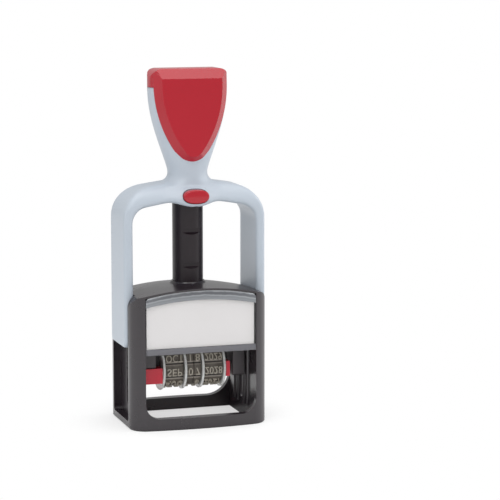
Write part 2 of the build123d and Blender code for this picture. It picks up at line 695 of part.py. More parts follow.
FRAME_TOP_Z = TRUNNION_Z - LEFT_EAR_DROP
FRAME_LOW_Z = FRAME_TOP_Z - FRAME_LEFT_H
FRAME_LEFT_X = STACK_LEFT_X - TURN_GAP
FRAME_RIGHT_X = STACK_RIGHT_X + TURN_GAP
FRAME_END_X = FRAME_RIGHT_X + FRAME_RIGHT_T
FRAME_BAR_Y = WHEEL_R + SLIDE_GAP
AXLE_LEFT_X = FRAME_LEFT_X - FRAME_LEFT_H
AXLE_RIGHT_X = FRAME_END_X + CLIP_T


def date_unit_frame():
    """Red frame: a block on the left, a plate on the right and a bar behind the wheels."""
    back_y = FRAME_BAR_Y + FRAME_BAR_T
    frame = block(-CARRIER_HALF_W, FRAME_LEFT_X, -FRAME_HALF_D, FRAME_HALF_D,
                  FRAME_LOW_Z, FRAME_TOP_Z)
    frame += block(FRAME_LEFT_X - FRAME_RIGHT_T, FRAME_LEFT_X, 0, back_y, FRAME_LOW_Z, FRAME_TOP_Z)
    frame += block(FRAME_RIGHT_X, FRAME_END_X, -FRAME_HALF_D, back_y,
                   FRAME_LOW_Z + FRAME_RIGHT_UP, FRAME_TOP_Z + FRAME_RIGHT_UP)
    bar_z = FRAME_LOW_Z + FRAME_RIGHT_UP
    frame += block(FRAME_LEFT_X - FRAME_RIGHT_T, FRAME_END_X, FRAME_BAR_Y, back_y,
                   bar_z, bar_z + FRAME_BAR_H)
    return frame - rod_x(AXLE_R, AXLE_LEFT_X, AXLE_RIGHT_X + 1, 0, WHEEL_Z)


def wheel_axle():
    """Steel axle through all four wheels."""
    return rod_x(AXLE_R, AXLE_LEFT_X, AXLE_RIGHT_X, 0, WHEEL_Z)


def axle_clip():
    """Push-on ring that keeps the axle in the frame."""
    ring = rod_x(CLIP_R, FRAME_END_X, AXLE_RIGHT_X, 0, WHEEL_Z)
    return ring - rod_x(AXLE_R, FRAME_END_X - 1, AXLE_RIGHT_X + 1, 0, WHEEL_Z)


def band_bridge():
    """Black comb: posts on the frame, a web inside the bands and the flat printing nose."""
    web_low_z = WHEEL_Z + WHEEL_R + SLIDE_GAP
    left_x = FRAME_LEFT_X - BRIDGE_POST_T
    right_x = FRAME_RIGHT_X + BRIDGE_POST_T
    bridge = block(left_x, right_x, -BRIDGE_HALF_T, BRIDGE_HALF_T, web_low_z, PLATE_LOW_Z)
    bridge += block(STACK_LEFT_X, STACK_RIGHT_X, -BRIDGE_HALF_T, BRIDGE_HALF_T, web_low_z, NOSE_Z)
    bridge += block(left_x, FRAME_LEFT_X, -BRIDGE_POST_HALF_D, BRIDGE_POST_HALF_D,
                    FRAME_TOP_Z, PLATE_LOW_Z)
    bridge += block(FRAME_RIGHT_X, right_x, -BRIDGE_POST_HALF_D, BRIDGE_POST_HALF_D,
                    FRAME_TOP_Z + FRAME_RIGHT_UP, PLATE_LOW_Z)
    nose = SlotOverall(2 * (NOSE_HALF_D + NOSE_R), 2 * NOSE_R)
    bridge += along_x(Pos(0, NOSE_Z) * nose, STACK_LEFT_X, STACK_RIGHT_X)
    return bridge


# Die carrier, backing and text plate

DATE_WINDOW_HALF_D = NOSE_HALF_D + DIE_FACE_Z - NOSE_Z + SEAT_GAP


def date_window(low_z, high_z):
    """The opening round the bands, cut through the plates over the carrier."""
    return block(STACK_LEFT_X - TURN_GAP, STACK_RIGHT_X + TURN_GAP,
                 -DATE_WINDOW_HALF_D, DATE_WINDOW_HALF_D, low_z, high_z)


def die_carrier():
    """Dark grey carrier: the plate under the die and two ears that hang on the pins."""
    plate = RectangleRounded(2 * CARRIER_HALF_W, 2 * CARRIER_HALF_D, EAR_R)
    body = along_z(plate, PLATE_LOW_Z, PLATE_TOP_Z)
    left_in_x = BRIDGE_POST_T - FRAME_LEFT_X + LEFT_EAR_GAP
    right_in_x = AXLE_RIGHT_X + RIGHT_EAR_GAP
    for side, in_x, drop in ((-1, left_in_x, LEFT_EAR_DROP), (1, right_in_x, RIGHT_EAR_DROP)):
        height = PLATE_LOW_Z - (TRUNNION_Z - drop) + EAR_R
        ear = Pos(0, PLATE_LOW_Z + EAR_R - height / 2) * Rectangle(2 * EAR_HALF_D, height)
        ear = fillet(ear.vertices().sort_by(Axis.Y)[:2], EAR_R / 2)
        ear = along_x(ear, in_x, CARRIER_HALF_W)
        ear -= rod_x(PIN_R + RUN_FIT, PIN_IN_X - SEAT_GAP, CARRIER_HALF_W + 1, 0, TRUNNION_Z)
        body += ear if side > 0 else mirrored(ear)
    body -= date_window(PLATE_LOW_Z - 1, PLATE_TOP_Z + 1)
    return body


def plate_backing():
    """Foam cushion between the carrier and the rubber."""
    sheet = Rectangle(IMPRINT_W, IMPRINT_D)
    sheet = along_z(sheet, PLATE_TOP_Z, PLATE_TOP_Z + BACKING)
    return sheet - date_window(PLATE_TOP_Z - 1, DIE_FACE_Z)


def text_plate():
    """Rubber die with a raised border; its text area is bare."""
    low_z = PLATE_TOP_Z + BACKING
    floor_z = DIE_FACE_Z - DIE_RELIEF
    die = along_z(Rectangle(IMPRINT_W, IMPRINT_D), low_z, floor_z)
    border = Rectangle(IMPRINT_W, IMPRINT_D)
    border -= Rectangle(IMPRINT_W - 2 * DIE_BORDER, IMPRINT_D - 2 * DIE_BORDER)
    die += along_z(border, floor_z, DIE_FACE_Z)
    return die - date_window(low_z - 1, DIE_FACE_Z + 1)


# Ink pad cassette

PAD_FRONT_Y = WALL_IN_Y - SEAT_GAP
PAD_HALF_W = WINDOW_HALF_W - PAD_SIDE
PAD_CELL_HALF_W = PAD_HALF_W - PAD_RIM
PAD_CELL_HALF_D = PAD_FRONT_Y - PAD_RIM
DATE_CELL_HALF_W = (STACK_RIGHT_X - STACK_LEFT_X) / 2
DATE_CELL_HALF_D = DATE_WINDOW_HALF_D - PAD_RIM


def pad_cells(inset, low_z, high_z):
    """The text cell round the date cell, each drawn in by inset from its walls."""
    outer = block(-PAD_CELL_HALF_W + inset, PAD_CELL_HALF_W - inset,
                  -PAD_CELL_HALF_D + inset, PAD_CELL_HALF_D - inset, low_z, high_z)
    hole_w = DATE_CELL_HALF_W + PAD_RIM + inset
    hole_d = DATE_CELL_HALF_D + PAD_RIM + inset
    text = outer - block(DATE_X - hole_w, DATE_X + hole_w, -hole_d, hole_d, low_z - 1, high_z + 1)
    date = block(DATE_X - DATE_CELL_HALF_W + inset, DATE_X + DATE_CELL_HALF_W - inset,
                 -DATE_CELL_HALF_D + inset, DATE_CELL_HALF_D - inset, low_z, high_z)
    return text, date


def pad_cassette():
    """Black tray that slides out at the back: its tail is bowed like the wall, with a lip."""
    low_z = PAD_FACE_Z - PAD_RIM / 2
    tray = block(-PAD_HALF_W, PAD_HALF_W, -PAD_FRONT_Y, 2 * BASE_HALF_D, low_z, PAD_TOP_Z)
    tray = tray & along_z(bowed_plan(), low_z, PAD_TOP_Z)
    tray += block(-PAD_GRIP_HALF_W, PAD_GRIP_HALF_W, BASE_HALF_D, BASE_HALF_D + PAD_GRIP_T,
                  low_z - PAD_GRIP_H, PAD_TOP_Z)
    text, date = pad_cells(0, low_z - 1, PAD_FACE_Z + PAD_FELT_T)
    return tray - text - date


def ink_pads():
    """Two felt pads, one for each colour of ink."""
    return pad_cells(SEAT_GAP, PAD_FACE_Z, PAD_FACE_Z + PAD_FELT_T)


# Index window and card

CARD_HALF_W = WINDOW_HALF_W - COVER_GAP - CARD_IN
CARD_FRONT_Y = CARD_SEAT_Y + CARD_T


def index_window():
    """Clear cover with a pocket for the card and a ledge along its foot."""
    half_w = WINDOW_HALF_W - COVER_GAP
    plate = arched_face(half_w, COVER_LOW_Z, COVER_TOP_DROP + COVER_GAP)
    cover = along_y(plate, -CARD_FRONT_Y - COVER_T, -CARD_SEAT_Y)
    card = arched_face(CARD_HALF_W, CARD_LOW_Z, CARD_TOP_DROP)
    cover -= along_y(card, -CARD_FRONT_Y, 0)
    cover += block(-half_w, half_w, -CARD_SEAT_Y, -CARD_SEAT_Y + COVER_LEDGE_IN,
                   COVER_LOW_Z, COVER_LOW_Z + COVER_LEDGE_H)
    return cover


def index_card():
    """White card with a bare face."""
    card = arched_face(CARD_HALF_W, CARD_LOW_Z, CARD_TOP_DROP)
    return along_y(card, -CARD_FRONT_Y, -CARD_SEAT_Y)


# All pieces, in the order in which they go together

save("base_frame", base_frame())
save("guide_column", guide_column())
save("return_spring", return_spring())
save("spring_post", spring_post())
save("yoke", yoke())
save("handle_cap", handle_cap())
save("lock_button", lock_button())
save("pin_right", trunnion_pin(1))
save("pin_left", trunnion_pin(-1))
save("die_carrier", die_carrier())
save("plate_backing", plate_backing())
save("text_plate", text_plate())
save("date_unit_frame", date_unit_frame())
save("band_bridge", band_bridge())
save("wheel_axle", wheel_axle())
save("axle_clip", axle_clip())
for band_name in ("month_band", "tens_band", "units_band", "year_band"):
    save(band_name, date_band(band_name))
    wheel_name = band_name.replace("band", "wheel")
    save(wheel_name, thumb_wheel(wheel_name, band_name))
save("pad_cassette", pad_cassette())
text_pad, date_pad = ink_pads()
save("ink_pad_text", text_pad)
save("ink_pad_date", date_pad)
save("index_window", index_window())
save("index_card", index_card())
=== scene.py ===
import math

import bmesh
import bpy
import numpy as np
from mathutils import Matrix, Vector


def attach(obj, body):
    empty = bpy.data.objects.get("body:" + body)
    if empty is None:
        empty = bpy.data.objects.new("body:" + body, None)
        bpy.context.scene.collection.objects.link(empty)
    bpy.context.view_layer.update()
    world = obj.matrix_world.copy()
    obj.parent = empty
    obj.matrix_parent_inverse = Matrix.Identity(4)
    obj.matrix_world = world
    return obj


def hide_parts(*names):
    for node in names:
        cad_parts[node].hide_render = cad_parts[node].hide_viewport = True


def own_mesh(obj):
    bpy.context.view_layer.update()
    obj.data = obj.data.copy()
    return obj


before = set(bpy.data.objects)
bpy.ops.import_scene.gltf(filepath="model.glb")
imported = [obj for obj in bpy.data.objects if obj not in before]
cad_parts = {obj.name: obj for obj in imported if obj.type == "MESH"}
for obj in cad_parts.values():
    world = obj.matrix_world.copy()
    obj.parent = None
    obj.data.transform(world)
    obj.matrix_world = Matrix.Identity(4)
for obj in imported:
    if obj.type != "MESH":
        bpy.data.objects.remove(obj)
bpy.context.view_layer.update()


# Base housing: one black ABS moulding with the front window, the side channels for the arms
# and the arched crown. It comes from a polished tool, so its skin is glossy, and every edge
# that leaves the tool carries a small round that catches the light.

MM = 0.001


def linear(code):
    """An sRGB hex colour as a linear one: each channel c turns into c / 12.92 up to 0.04045,
    and into ((c + 0.055) / 1.055) ^ 2.4 above it."""
    srgb = np.array([int(code[i:i + 2], 16) / 255 for i in (0, 2, 4)])
    value = np.where(srgb <= 0.04045, srgb / 12.92, ((srgb + 0.055) / 1.055) ** 2.4)
    return (*value, 1.0)


def new_material(name):
    """An empty node material: returns the material and its node tree."""
    material = bpy.data.materials.new(name)
    material.use_nodes = True
    material.node_tree.nodes.clear()
    return material, material.node_tree


def add(tree, kind, settings=None, links=None):
    """Adds one node. Settings name its fields, or its sockets by name or number; links name the
    socket and the (node, output) that feeds it."""
    node = tree.nodes.new("ShaderNode" + kind)
    for key, value in (settings or {}).items():
        if isinstance(key, str) and hasattr(node, key) and key not in node.inputs:
            setattr(node, key, value)
        else:
            node.inputs[key].default_value = value
    for key, (source, output) in (links or {}).items():
        tree.links.new(source.outputs[output], node.inputs[key])
    return node


def moulded_plastic(name, low, high, roughness, mottle_mm, grain_mm, grain_depth_mm, shine=0.5):
    """Injection moulded thermoplastic. Two close colours mottle over mottle_mm, the roughness
    wanders with them from 6 % under to 8 % over its value, and a fine grain of grain_mm stands
    grain_depth_mm proud. The foam and the pressed rubber are coarser and duller kinds of it."""
    material, tree = new_material(name)
    place = add(tree, "TexCoord")
    mottle = add(tree, "TexNoise", {"Scale": 1 / (mottle_mm * MM), "Detail": 3.0},
                 {"Vector": (place, "Object")})
    colour = add(tree, "MixRGB", {1: linear(low), 2: linear(high)}, {0: (mottle, "Fac")})
    sheen = add(tree, "MapRange", {"From Min": 0.2, "From Max": 0.8, "To Min": roughness * 0.94,
                                   "To Max": roughness * 1.08}, {"Value": (mottle, "Fac")})
    grain = add(tree, "TexNoise", {"Scale": 1 / (grain_mm * MM), "Detail": 2.0},
                {"Vector": (place, "Object")})
    bump = add(tree, "Bump", {"Strength": 1.0, "Distance": grain_depth_mm * MM},
               {"Height": (grain, "Fac")})
    shader = add(tree, "BsdfPrincipled", {"IOR": 1.53, "Specular IOR Level": shine},
                 {"Base Color": (colour, 0), "Roughness": (sheen, 0), "Normal": (bump, 0)})
    add(tree, "OutputMaterial", links={"Surface": (shader, 0)})
    return material


def merged_copy(node, name):
    """A copy of a CAD node's loose triangles with its seams closed and its flats joined up."""
    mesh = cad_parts[node].data.copy()
    mesh.name = name
    work = bmesh.new()
    work.from_mesh(mesh)
    bmesh.ops.remove_doubles(work, verts=work.verts, dist=1e-6)
    bmesh.ops.dissolve_limit(work, angle_limit=math.radians(0.6), verts=work.verts,
                             edges=work.edges, delimit={"NORMAL"})
    work.to_mesh(mesh)
    work.free()
    mesh.materials.clear()
    return mesh


def show(name, mesh, material, body, nodes=()):
    """Links a finished mesh at the origin with its material, and ties it to its CAD body."""
    piece = bpy.data.objects.new(name, mesh)
    bpy.context.scene.collection.objects.link(piece)
    mesh.materials.append(material)
    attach(piece, body)
    if nodes:
        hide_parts(*nodes)
    return piece


def soften(piece, radius_mm, from_deg=32.0, segments=2):
    """Rounds the edges that turn more than from_deg to radius_mm. Normals are weighted by face
    area, so that the large flats stay flat and only the rounds shade."""
    for polygon in piece.data.polygons:
        polygon.use_smooth = True
    edge = piece.modifiers.new("edge_round", "BEVEL")
    edge.width = radius_mm * MM
    edge.segments = segments
    edge.limit_method = "ANGLE"
    edge.angle_limit = math.radians(from_deg)
    edge.use_clamp_overlap = True
    flat = piece.modifiers.new("flats_stay_flat", "WEIGHTED_NORMAL")
    flat.weight = 60
    flat.keep_sharp = True


# ABS: a deep warm black, glossy from the polished tool, with cloudy patches of about 12 mm and
# a 0.6 mm grain that takes the mirror out of the reflections.
base_plastic = moulded_plastic("abs_black_gloss_moulded", "1B141A", "221A21",
                               roughness=0.28, mottle_mm=12.0, grain_mm=0.6,
                               grain_depth_mm=0.004, shine=0.7)
base = show("base_housing", merged_copy("base_frame", "base_housing"), base_plastic,
            "housing", ["base_frame"])
soften(base, 0.45)


# Guide column: a black ABS tube pushed into the crown's socket. The button's blade drops into
# the notches in its front, each with a ledge above a ramp. It has less polish than the base.

column_plastic = moulded_plastic("abs_black_satin_moulded", "1A1217", "21171D",
                                 roughness=0.34, mottle_mm=6.0, grain_mm=0.5,
                                 grain_depth_mm=0.006, shine=0.35)
column = show("column_tube", merged_copy("guide_column", "column_tube"), column_plastic,
              "housing", ["guide_column"])
soften(column, 0.25)


# Return spring and its post: the spring is bright drawn wire wound in six turns, and the post is
# black nylon at the top of the handle's bore. The spring stands on the column's floor and pushes
# the handle up.

SPRING_R, WIRE_R, SPRING_TURNS = 3.5, 0.45, 6
SPRING_LOW_Z, SPRING_HIGH_Z, PRESS_STROKE = 59.5, 144.4, 31.0


def facing_out(mesh):
    """Turns all faces of a closed shell outwards."""
    work = bmesh.new()
    work.from_mesh(mesh)
    bmesh.ops.recalc_face_normals(work, faces=work.faces)
    work.to_mesh(mesh)
    work.free()
    return mesh


def tube_mesh(name, grid):
    """A closed shell from a grid of points (stations, around, 3) in mm, with a flat cap at each
    end. The quad i, j joins the points i, j and j + 1 of one ring to those of the next."""
    stations, around = grid.shape[:2]
    index = np.arange(stations * around).reshape(stations, around)
    after = np.roll(index, -1, axis=1)
    quads = np.stack([index[:-1], after[:-1], after[1:], index[1:]], -1).reshape(-1, 4)
    mesh = bpy.data.meshes.new(name)
    faces = quads.tolist() + [index[0][::-1].tolist(), index[-1].tolist()]
    mesh.from_pydata((grid.reshape(-1, 3) * MM).tolist(), [], faces)
    return facing_out(mesh)


def smooth_shaded(mesh, sharp_deg=38.0):
    """Shades a mesh smoothly, apart from edges that turn more than sharp_deg."""
    mesh.polygons.foreach_set("use_smooth", np.ones(len(mesh.polygons), bool))
    mesh.set_sharp_from_angle(angle=math.radians(sharp_deg))
    return mesh


def helix_tube():
    """The spring as a round wire swept along (R cos t, R sin t, low + rise t / turn): each ring is
    the point + r (cos a N + sin a B), with N radial and B the run of the wire crossed with N."""
    t = np.linspace(0, 2 * math.pi * SPRING_TURNS, 48 * SPRING_TURNS + 1)
    low, high = SPRING_LOW_Z + 1.05 * WIRE_R, SPRING_HIGH_Z - 1.05 * WIRE_R
    z = low + (high - low) * t / t[-1]
    spot = np.stack([SPRING_R * np.cos(t), SPRING_R * np.sin(t), z], 1)
    run = np.gradient(spot, axis=0)
    run /= np.linalg.norm(run, axis=1)[:, None]
    radial = np.stack([np.cos(t), np.sin(t), np.zeros_like(t)], 1)
    across = np.cross(run, radial)
    a = np.linspace(0, 2 * math.pi, 12, endpoint=False)[None, :, None]
    return spot[:, None] + WIRE_R * (np.cos(a) * radial[:, None] + np.sin(a) * across[:, None])


def steel(name, light, dark, roughness, drawn_mm):
    """Drawn steel: metallic, with fine lines drawn_mm apart from the die that it came through.
    They run along X, as the pins and the axle do."""
    material, tree = new_material(name)
    place = add(tree, "TexCoord")
    stretch = add(tree, "Mapping", {"Scale": (0.08, 1.0, 1.0)}, {"Vector": (place, "Object")})
    lines = add(tree, "TexNoise", {"Scale": 1 / (drawn_mm * MM), "Detail": 4.0},
                {"Vector": (stretch, 0)})
    colour = add(tree, "MixRGB", {1: linear(dark), 2: linear(light)}, {0: (lines, "Fac")})
    wear = add(tree, "MapRange", {"To Min": roughness * 0.8, "To Max": roughness * 1.3},
               {"Value": (lines, "Fac")})
    bump = add(tree, "Bump", {"Strength": 0.6, "Distance": 0.004 * MM},
               {"Height": (lines, "Fac")})
    shader = add(tree, "BsdfPrincipled", {"Metallic": 1.0},
                 {"Base Color": (colour, 0), "Roughness": (wear, 0), "Normal": (bump, 0)})
    add(tree, "OutputMaterial", links={"Surface": (shader, 0)})
    return material


# Spring steel: grey and bright, with fine lines about 0.3 mm apart.
spring_steel = steel("spring_steel_drawn", "B9BBBE", "8F9296", roughness=0.32, drawn_mm=0.3)
spring = show("spring_wire", smooth_shaded(tube_mesh("spring_wire", helix_tube())), spring_steel,
              "housing", ["return_spring"])
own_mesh(spring)

# Nylon: a dull brownish black with a soft skin.
nylon = moulded_plastic("nylon_black_moulded", "201C1E", "2A2527",
                        roughness=0.5, mottle_mm=5.0, grain_mm=0.4, grain_depth_mm=0.006)
post = show("spring_seat_post", merged_copy("spring_post", "spring_seat_post"), nylon,
            "handle", ["spring_post"])
soften(post, 0.3)


# Yoke: a single pale blue-grey ABS moulding: two arms, the crossbar with a swelling round the
# button, the neck, and the core of the handle. All its forms run into each other with soft
# hollows, and its skin is a fine satin.

ARM_OUT_X, ARM_IN_X, ARM_HALF_D, ARM_END_Z = 32.1, 28.0, 12.6, 35.4
ARM_FRONT_END_R, ARM_BACK_END_R = 3.6, 1.6
BAR_TOP_Z, BAR_THICK, BAR_SLOPE, BAR_CROWN_Z = 108.9, 8.4, 0.17, 95.6
ARCH_OUT_R, ARCH_IN_R = 14.5, 7.5
ARM_EDGE_R, EDGE_GROWTH, ARM_HALF_T, HALF_T_GROWTH = 1.0, 1.6, 1.6, 2.5
SWELLING, SWELLING_HALF_W, SWELLING_HALF_H, SWELLING_Z = 4.4, 14.5, 8.5, 101.2
DIP, DIP_HALF_W = 3.6, 12.5
NECK_R, NECK_Z = 8.8, 111.5
NECK_FOOT_W, NECK_FOOT_H, NECK_FOOT_Z = 8.0, 4.8, 110.5
NECK_FOOT_D, NECK_FOOT_DROP = 1.5, 9.0
HANDLE_HALF_W, HANDLE_HALF_D, HANDLE_CORNER_R = 17.5, 8.6, 7.5
HANDLE_LOW_Z, HANDLE_FULL_Z, HANDLE_SEAM_Z = 102.5, 148.0, 148.5
BORE_R, BORE_LOW_Z, BORE_TOP_Z = 6.9, 90.0, 146.4
BUTTON_Z, POCKET_HALF_W, POCKET_HALF_H = 101.3, 5.98, 3.28
POCKET_FRONT_Y, POCKET_FLOOR_Y = -17.5, -11.1
SLOT_HALF_W, SLOT_HALF_H, SLOT_FRONT_Y, SLOT_BACK_Y = 3.45, 0.85, -12.0, -4.4


def half_outline(corner_x, base_z, radius, steps):
    """Half of an arch line from the arm's end to the middle: a straight arm at corner_x, an arc of
    the given radius that touches it, and a straight bar that climbs BAR_SLOPE to base_z at x = 0.
    Returns points (x, z), steps of them to each of the three parts, closest at the arm's end."""
    turn = math.pi / 2 - math.atan(BAR_SLOPE)
    corner_z = base_z - BAR_SLOPE * corner_x
    start_z = corner_z - radius * math.tan(turn / 2)
    share = np.linspace(0, 1, steps, endpoint=False)
    rise = 1 - np.cos(share * math.pi / 2)
    arm = np.stack([np.full(steps, corner_x), ARM_END_Z + (start_z - ARM_END_Z) * rise], 1)
    angle = share * turn
    arc = np.stack([corner_x - radius + radius * np.cos(angle),
                    start_z + radius * np.sin(angle)], 1)
    x0 = corner_x - radius + radius * math.cos(turn)
    share = np.linspace(0, 1, steps)
    bar = np.stack([x0 * (1 - share), base_z - BAR_SLOPE * x0 * (1 - share)], 1)
    return np.concatenate([arm, arc, bar])


def ring_section(count):
    """Unit directions of a rounded rectangle: for each of its points the sides (sx, sy) that the
    corner's centre lies on, from -1 to 1, and the (cos, sin) round that centre."""
    sx, sy, c, s = [], [], [], []
    corners = ((1, 1, 0), (-1, 1, 90), (-1, -1, 180), (1, -1, 270))
    for i, (ax, ay, turn) in enumerate(corners):
        angle = np.radians(turn + np.linspace(0, 90, count))
        bx, by, _ = corners[(i + 1) % 4]
        run = np.linspace(0, 1, count + 1)[1:-1]
        sx += [np.full(count, ax), ax + (bx - ax) * run]
        sy += [np.full(count, ay), ay + (by - ay) * run]
        c += [np.cos(angle), np.full(count - 1, np.cos(angle[-1]))]
        s += [np.sin(angle), np.full(count - 1, np.sin(angle[-1]))]
    return [np.concatenate(part) for part in (sx, sy, c, s)]


def arch_shell():
    """Arms and crossbar. At each station a rounded rectangle lies between the outer and the inner
    arch line; its corners grow by EDGE_GROWTH as the half thickness does by HALF_T_GROWTH from
    the arms to the bar. Its half depth is the arm's, drawn in by the round ends at the foot and by
    the crown's circle over BAR_CROWN_Z: y = sqrt(ARM_HALF_D^2 - (z - BAR_CROWN_Z)^2). Round the
    button the front swells by SWELLING cos^2(90 deg x / half width) cos^2(90 deg (z - SWELLING_Z)
    / half height), which fades out over the front 9 mm of the depth, and the underside, up to
    z = 105.5 mm, dips by DIP cos^2(90 deg x / DIP_HALF_W)."""
    steps = 26
    outer = half_outline(ARM_OUT_X, BAR_TOP_Z, ARCH_OUT_R, steps)
    inner = half_outline(ARM_IN_X, BAR_TOP_Z - BAR_THICK, ARCH_IN_R, steps)
    flip = np.array([-1.0, 1.0])
    outer = np.concatenate([outer, (outer * flip)[-2::-1]])
    inner = np.concatenate([inner, (inner * flip)[-2::-1]])
    sx, sy, c, s = ring_section(9)
    middle, half = (outer + inner) / 2, (outer - inner) / 2
    size = np.linalg.norm(half, axis=1)[:, None]
    growth = np.clip((size - ARM_HALF_T) / HALF_T_GROWTH, 0, 1)
    edge = np.minimum(size * 0.96, ARM_EDGE_R + EDGE_GROWTH * growth)
    across = (sx * (size - edge) + c * edge) / size
    flat = middle[:, None, :] + half[:, None, :] * across[:, :, None]
    x, z = flat[:, :, 0], flat[:, :, 1]
    end_r = np.where(sy < 0, ARM_FRONT_END_R, ARM_BACK_END_R)
    foot = np.clip(end_r - (z - ARM_END_Z), 0, end_r)
    depth = ARM_HALF_D - end_r + np.sqrt(end_r ** 2 - foot ** 2)
    crown = np.clip(z - BAR_CROWN_Z, 0, ARM_HALF_D * 0.999)
    depth = np.minimum(depth, np.sqrt(ARM_HALF_D ** 2 - crown ** 2))
    y = depth * (sy * (ARM_HALF_D - edge) + s * edge) / ARM_HALF_D
    under = np.clip((105.5 - z) / 5.0, 0, 1) * np.clip((z - 90.0) / 4.0, 0, 1)
    dip = DIP * np.cos(math.pi / 2 * np.clip(x / DIP_HALF_W, -1, 1)) ** 2 * under ** 2
    front = np.clip(-y / 9.0, 0, 1) ** 1.5
    lens = (np.cos(math.pi / 2 * np.clip(x / SWELLING_HALF_W, -1, 1))
            * np.cos(math.pi / 2 * np.clip((z - SWELLING_Z) / SWELLING_HALF_H, -1, 1)))
    return tube_mesh("arch_shell", np.stack([x, y - SWELLING * lens ** 2 * front, z - dip], -1))


def handle_shell():
    """Neck and handle core. The half width is NECK_R at the neck, hollows out to the foot along a
    quarter ellipse NECK_FOOT_W wide and NECK_FOOT_H high below it, and flares above it by
    sin(share * 90 deg) ^ 1.15. The half depth thins evenly to HANDLE_HALF_D and grows below the
    neck by NECK_FOOT_D (drop / NECK_FOOT_DROP)^2; the corner radius falls from the full round of
    the neck to HANDLE_CORNER_R."""
    z = np.concatenate([np.linspace(HANDLE_LOW_Z, NECK_Z, 30, endpoint=False),
                        np.linspace(NECK_Z, HANDLE_SEAM_Z, 60)])
    share = np.clip((z - NECK_Z) / (HANDLE_FULL_Z - NECK_Z), 0, 1)
    flare = np.sin(share * math.pi / 2) ** 1.15
    drop = np.clip((NECK_FOOT_Z - z) / NECK_FOOT_H, 0, 1)
    foot = 1 - np.sqrt(1 - drop ** 2)
    half_w = NECK_R + (HANDLE_HALF_W - NECK_R) * flare + NECK_FOOT_W * foot
    half_d = (NECK_R + (HANDLE_HALF_D - NECK_R) * share
              + NECK_FOOT_D * np.clip((NECK_Z - z) / NECK_FOOT_DROP, 0, 1) ** 2)
    most = np.minimum(half_w, half_d)
    corner = np.minimum(NECK_R + (HANDLE_CORNER_R - NECK_R) * flare, most)
    corner = np.where(z < NECK_Z, most, corner)
    sx, sy, c, s = ring_section(10)
    half_w, half_d, corner = half_w[:, None], half_d[:, None], corner[:, None]
    x = sx * (half_w - corner) + c * corner
    y = sy * (half_d - corner) + s * corner
    return tube_mesh("handle_shell", np.stack([x, y, np.broadcast_to(z[:, None], x.shape)], -1))


def joined(name, meshes):
    """One object that holds several meshes, for a modifier to work on."""
    work = bmesh.new()
    for mesh in meshes:
        work.from_mesh(mesh)
    mesh = bpy.data.meshes.new(name)
    work.to_mesh(mesh)
    work.free()
    piece = bpy.data.objects.new(name, mesh)
    bpy.context.scene.collection.objects.link(piece)
    return piece


def applied(piece, name):
    """The mesh of a piece with its modifiers worked in; the piece itself goes."""
    graph = bpy.context.evaluated_depsgraph_get()
    mesh = bpy.data.meshes.new_from_object(piece.evaluated_get(graph))
    mesh.name = name
    bpy.data.objects.remove(piece)
    return mesh


def rod(name, radius, low, high, axis, middle=(0, 0, 0), count=96):
    """A round bar as a closed shell: (r cos t, r sin t) carried from low to high along the axis
    'x' or 'z'."""
    turn = np.linspace(0, 2 * math.pi, count, endpoint=False)
    ring = np.stack([radius * np.cos(turn), radius * np.sin(turn)], 1)
    order = {"x": (1, 2, 0), "z": (0, 1, 2)}[axis]
    grid = np.zeros((2, count, 3))
    grid[:, :, order[0]] = ring[:, 0] + middle[order[0]]
    grid[:, :, order[1]] = ring[:, 1] + middle[order[1]]
    grid[0, :, order[2]] = low
    grid[1, :, order[2]] = high
    return tube_mesh(name, grid)


def cuboid(name, low, high):
    """A plain closed block between two corners in mm."""
    ring = np.array([[low[0], low[1]], [high[0], low[1]], [high[0], high[1]], [low[0], high[1]]])
    grid = np.zeros((2, 4, 3))
    grid[:, :, :2] = ring
    grid[0, :, 2], grid[1, :, 2] = low[2], high[2]
    return tube_mesh(name, grid)


def oval_rings(half_w, half_h, stations):
    """Rings of the button's outline at stations of (y, shrink): x = half_w |cos t|^0.84 and
    z = half_h |sin t|^0.84 with the signs of cos t and sin t, both drawn in by shrink in mm."""
    t = np.linspace(0, 2 * math.pi, 96, endpoint=False)
    across = np.sign(np.cos(t)) * np.abs(np.cos(t)) ** 0.84
    up = np.sign(np.sin(t)) * np.abs(np.sin(t)) ** 0.84
    return np.array([np.stack([(half_w - shrink) * across, np.full_like(t, y),
                               BUTTON_Z + (half_h - shrink) * up], 1) for y, shrink in stations])


def carve(piece, cutters):
    """Cuts closed shells out of a piece, one after another, exactly."""
    for mesh in cutters:
        tool = bpy.data.objects.new("cutter", mesh)
        bpy.context.scene.collection.objects.link(tool)
        cut = piece.modifiers.new("cut", "BOOLEAN")
        cut.operation = "DIFFERENCE"
        cut.solver = "EXACT"
        cut.object = tool
        graph = bpy.context.evaluated_depsgraph_get()
        mesh_after = bpy.data.meshes.new_from_object(piece.evaluated_get(graph))
        piece.modifiers.clear()
        piece.data = mesh_after
        bpy.data.objects.remove(tool)
    return piece


# The two shells melt into one in 0.55 mm voxels, and nine passes of smoothing give the hollows.
# The bore, the button's pocket and the slot for its blade are cut after that, so they stay crisp.
blank = joined("yoke_blank", [arch_shell(), handle_shell()])
union = blank.modifiers.new("union", "REMESH")
union.mode = "VOXEL"
union.voxel_size = 0.55 * MM
relax = blank.modifiers.new("relax", "SMOOTH")
relax.factor = 0.5
relax.iterations = 9
blank = joined("yoke_blank", [applied(blank, "yoke_blank")])
pocket = oval_rings(POCKET_HALF_W, POCKET_HALF_H, ((POCKET_FRONT_Y, 0), (POCKET_FLOOR_Y, 0)))
carve(blank, [
    rod("bore", BORE_R, BORE_LOW_Z, BORE_TOP_Z, "z"),
    tube_mesh("pocket", pocket),
    cuboid("blade_slot", (-SLOT_HALF_W, SLOT_FRONT_Y, BUTTON_Z - SLOT_HALF_H),
           (SLOT_HALF_W, SLOT_BACK_Y, BUTTON_Z + SLOT_HALF_H)),
])
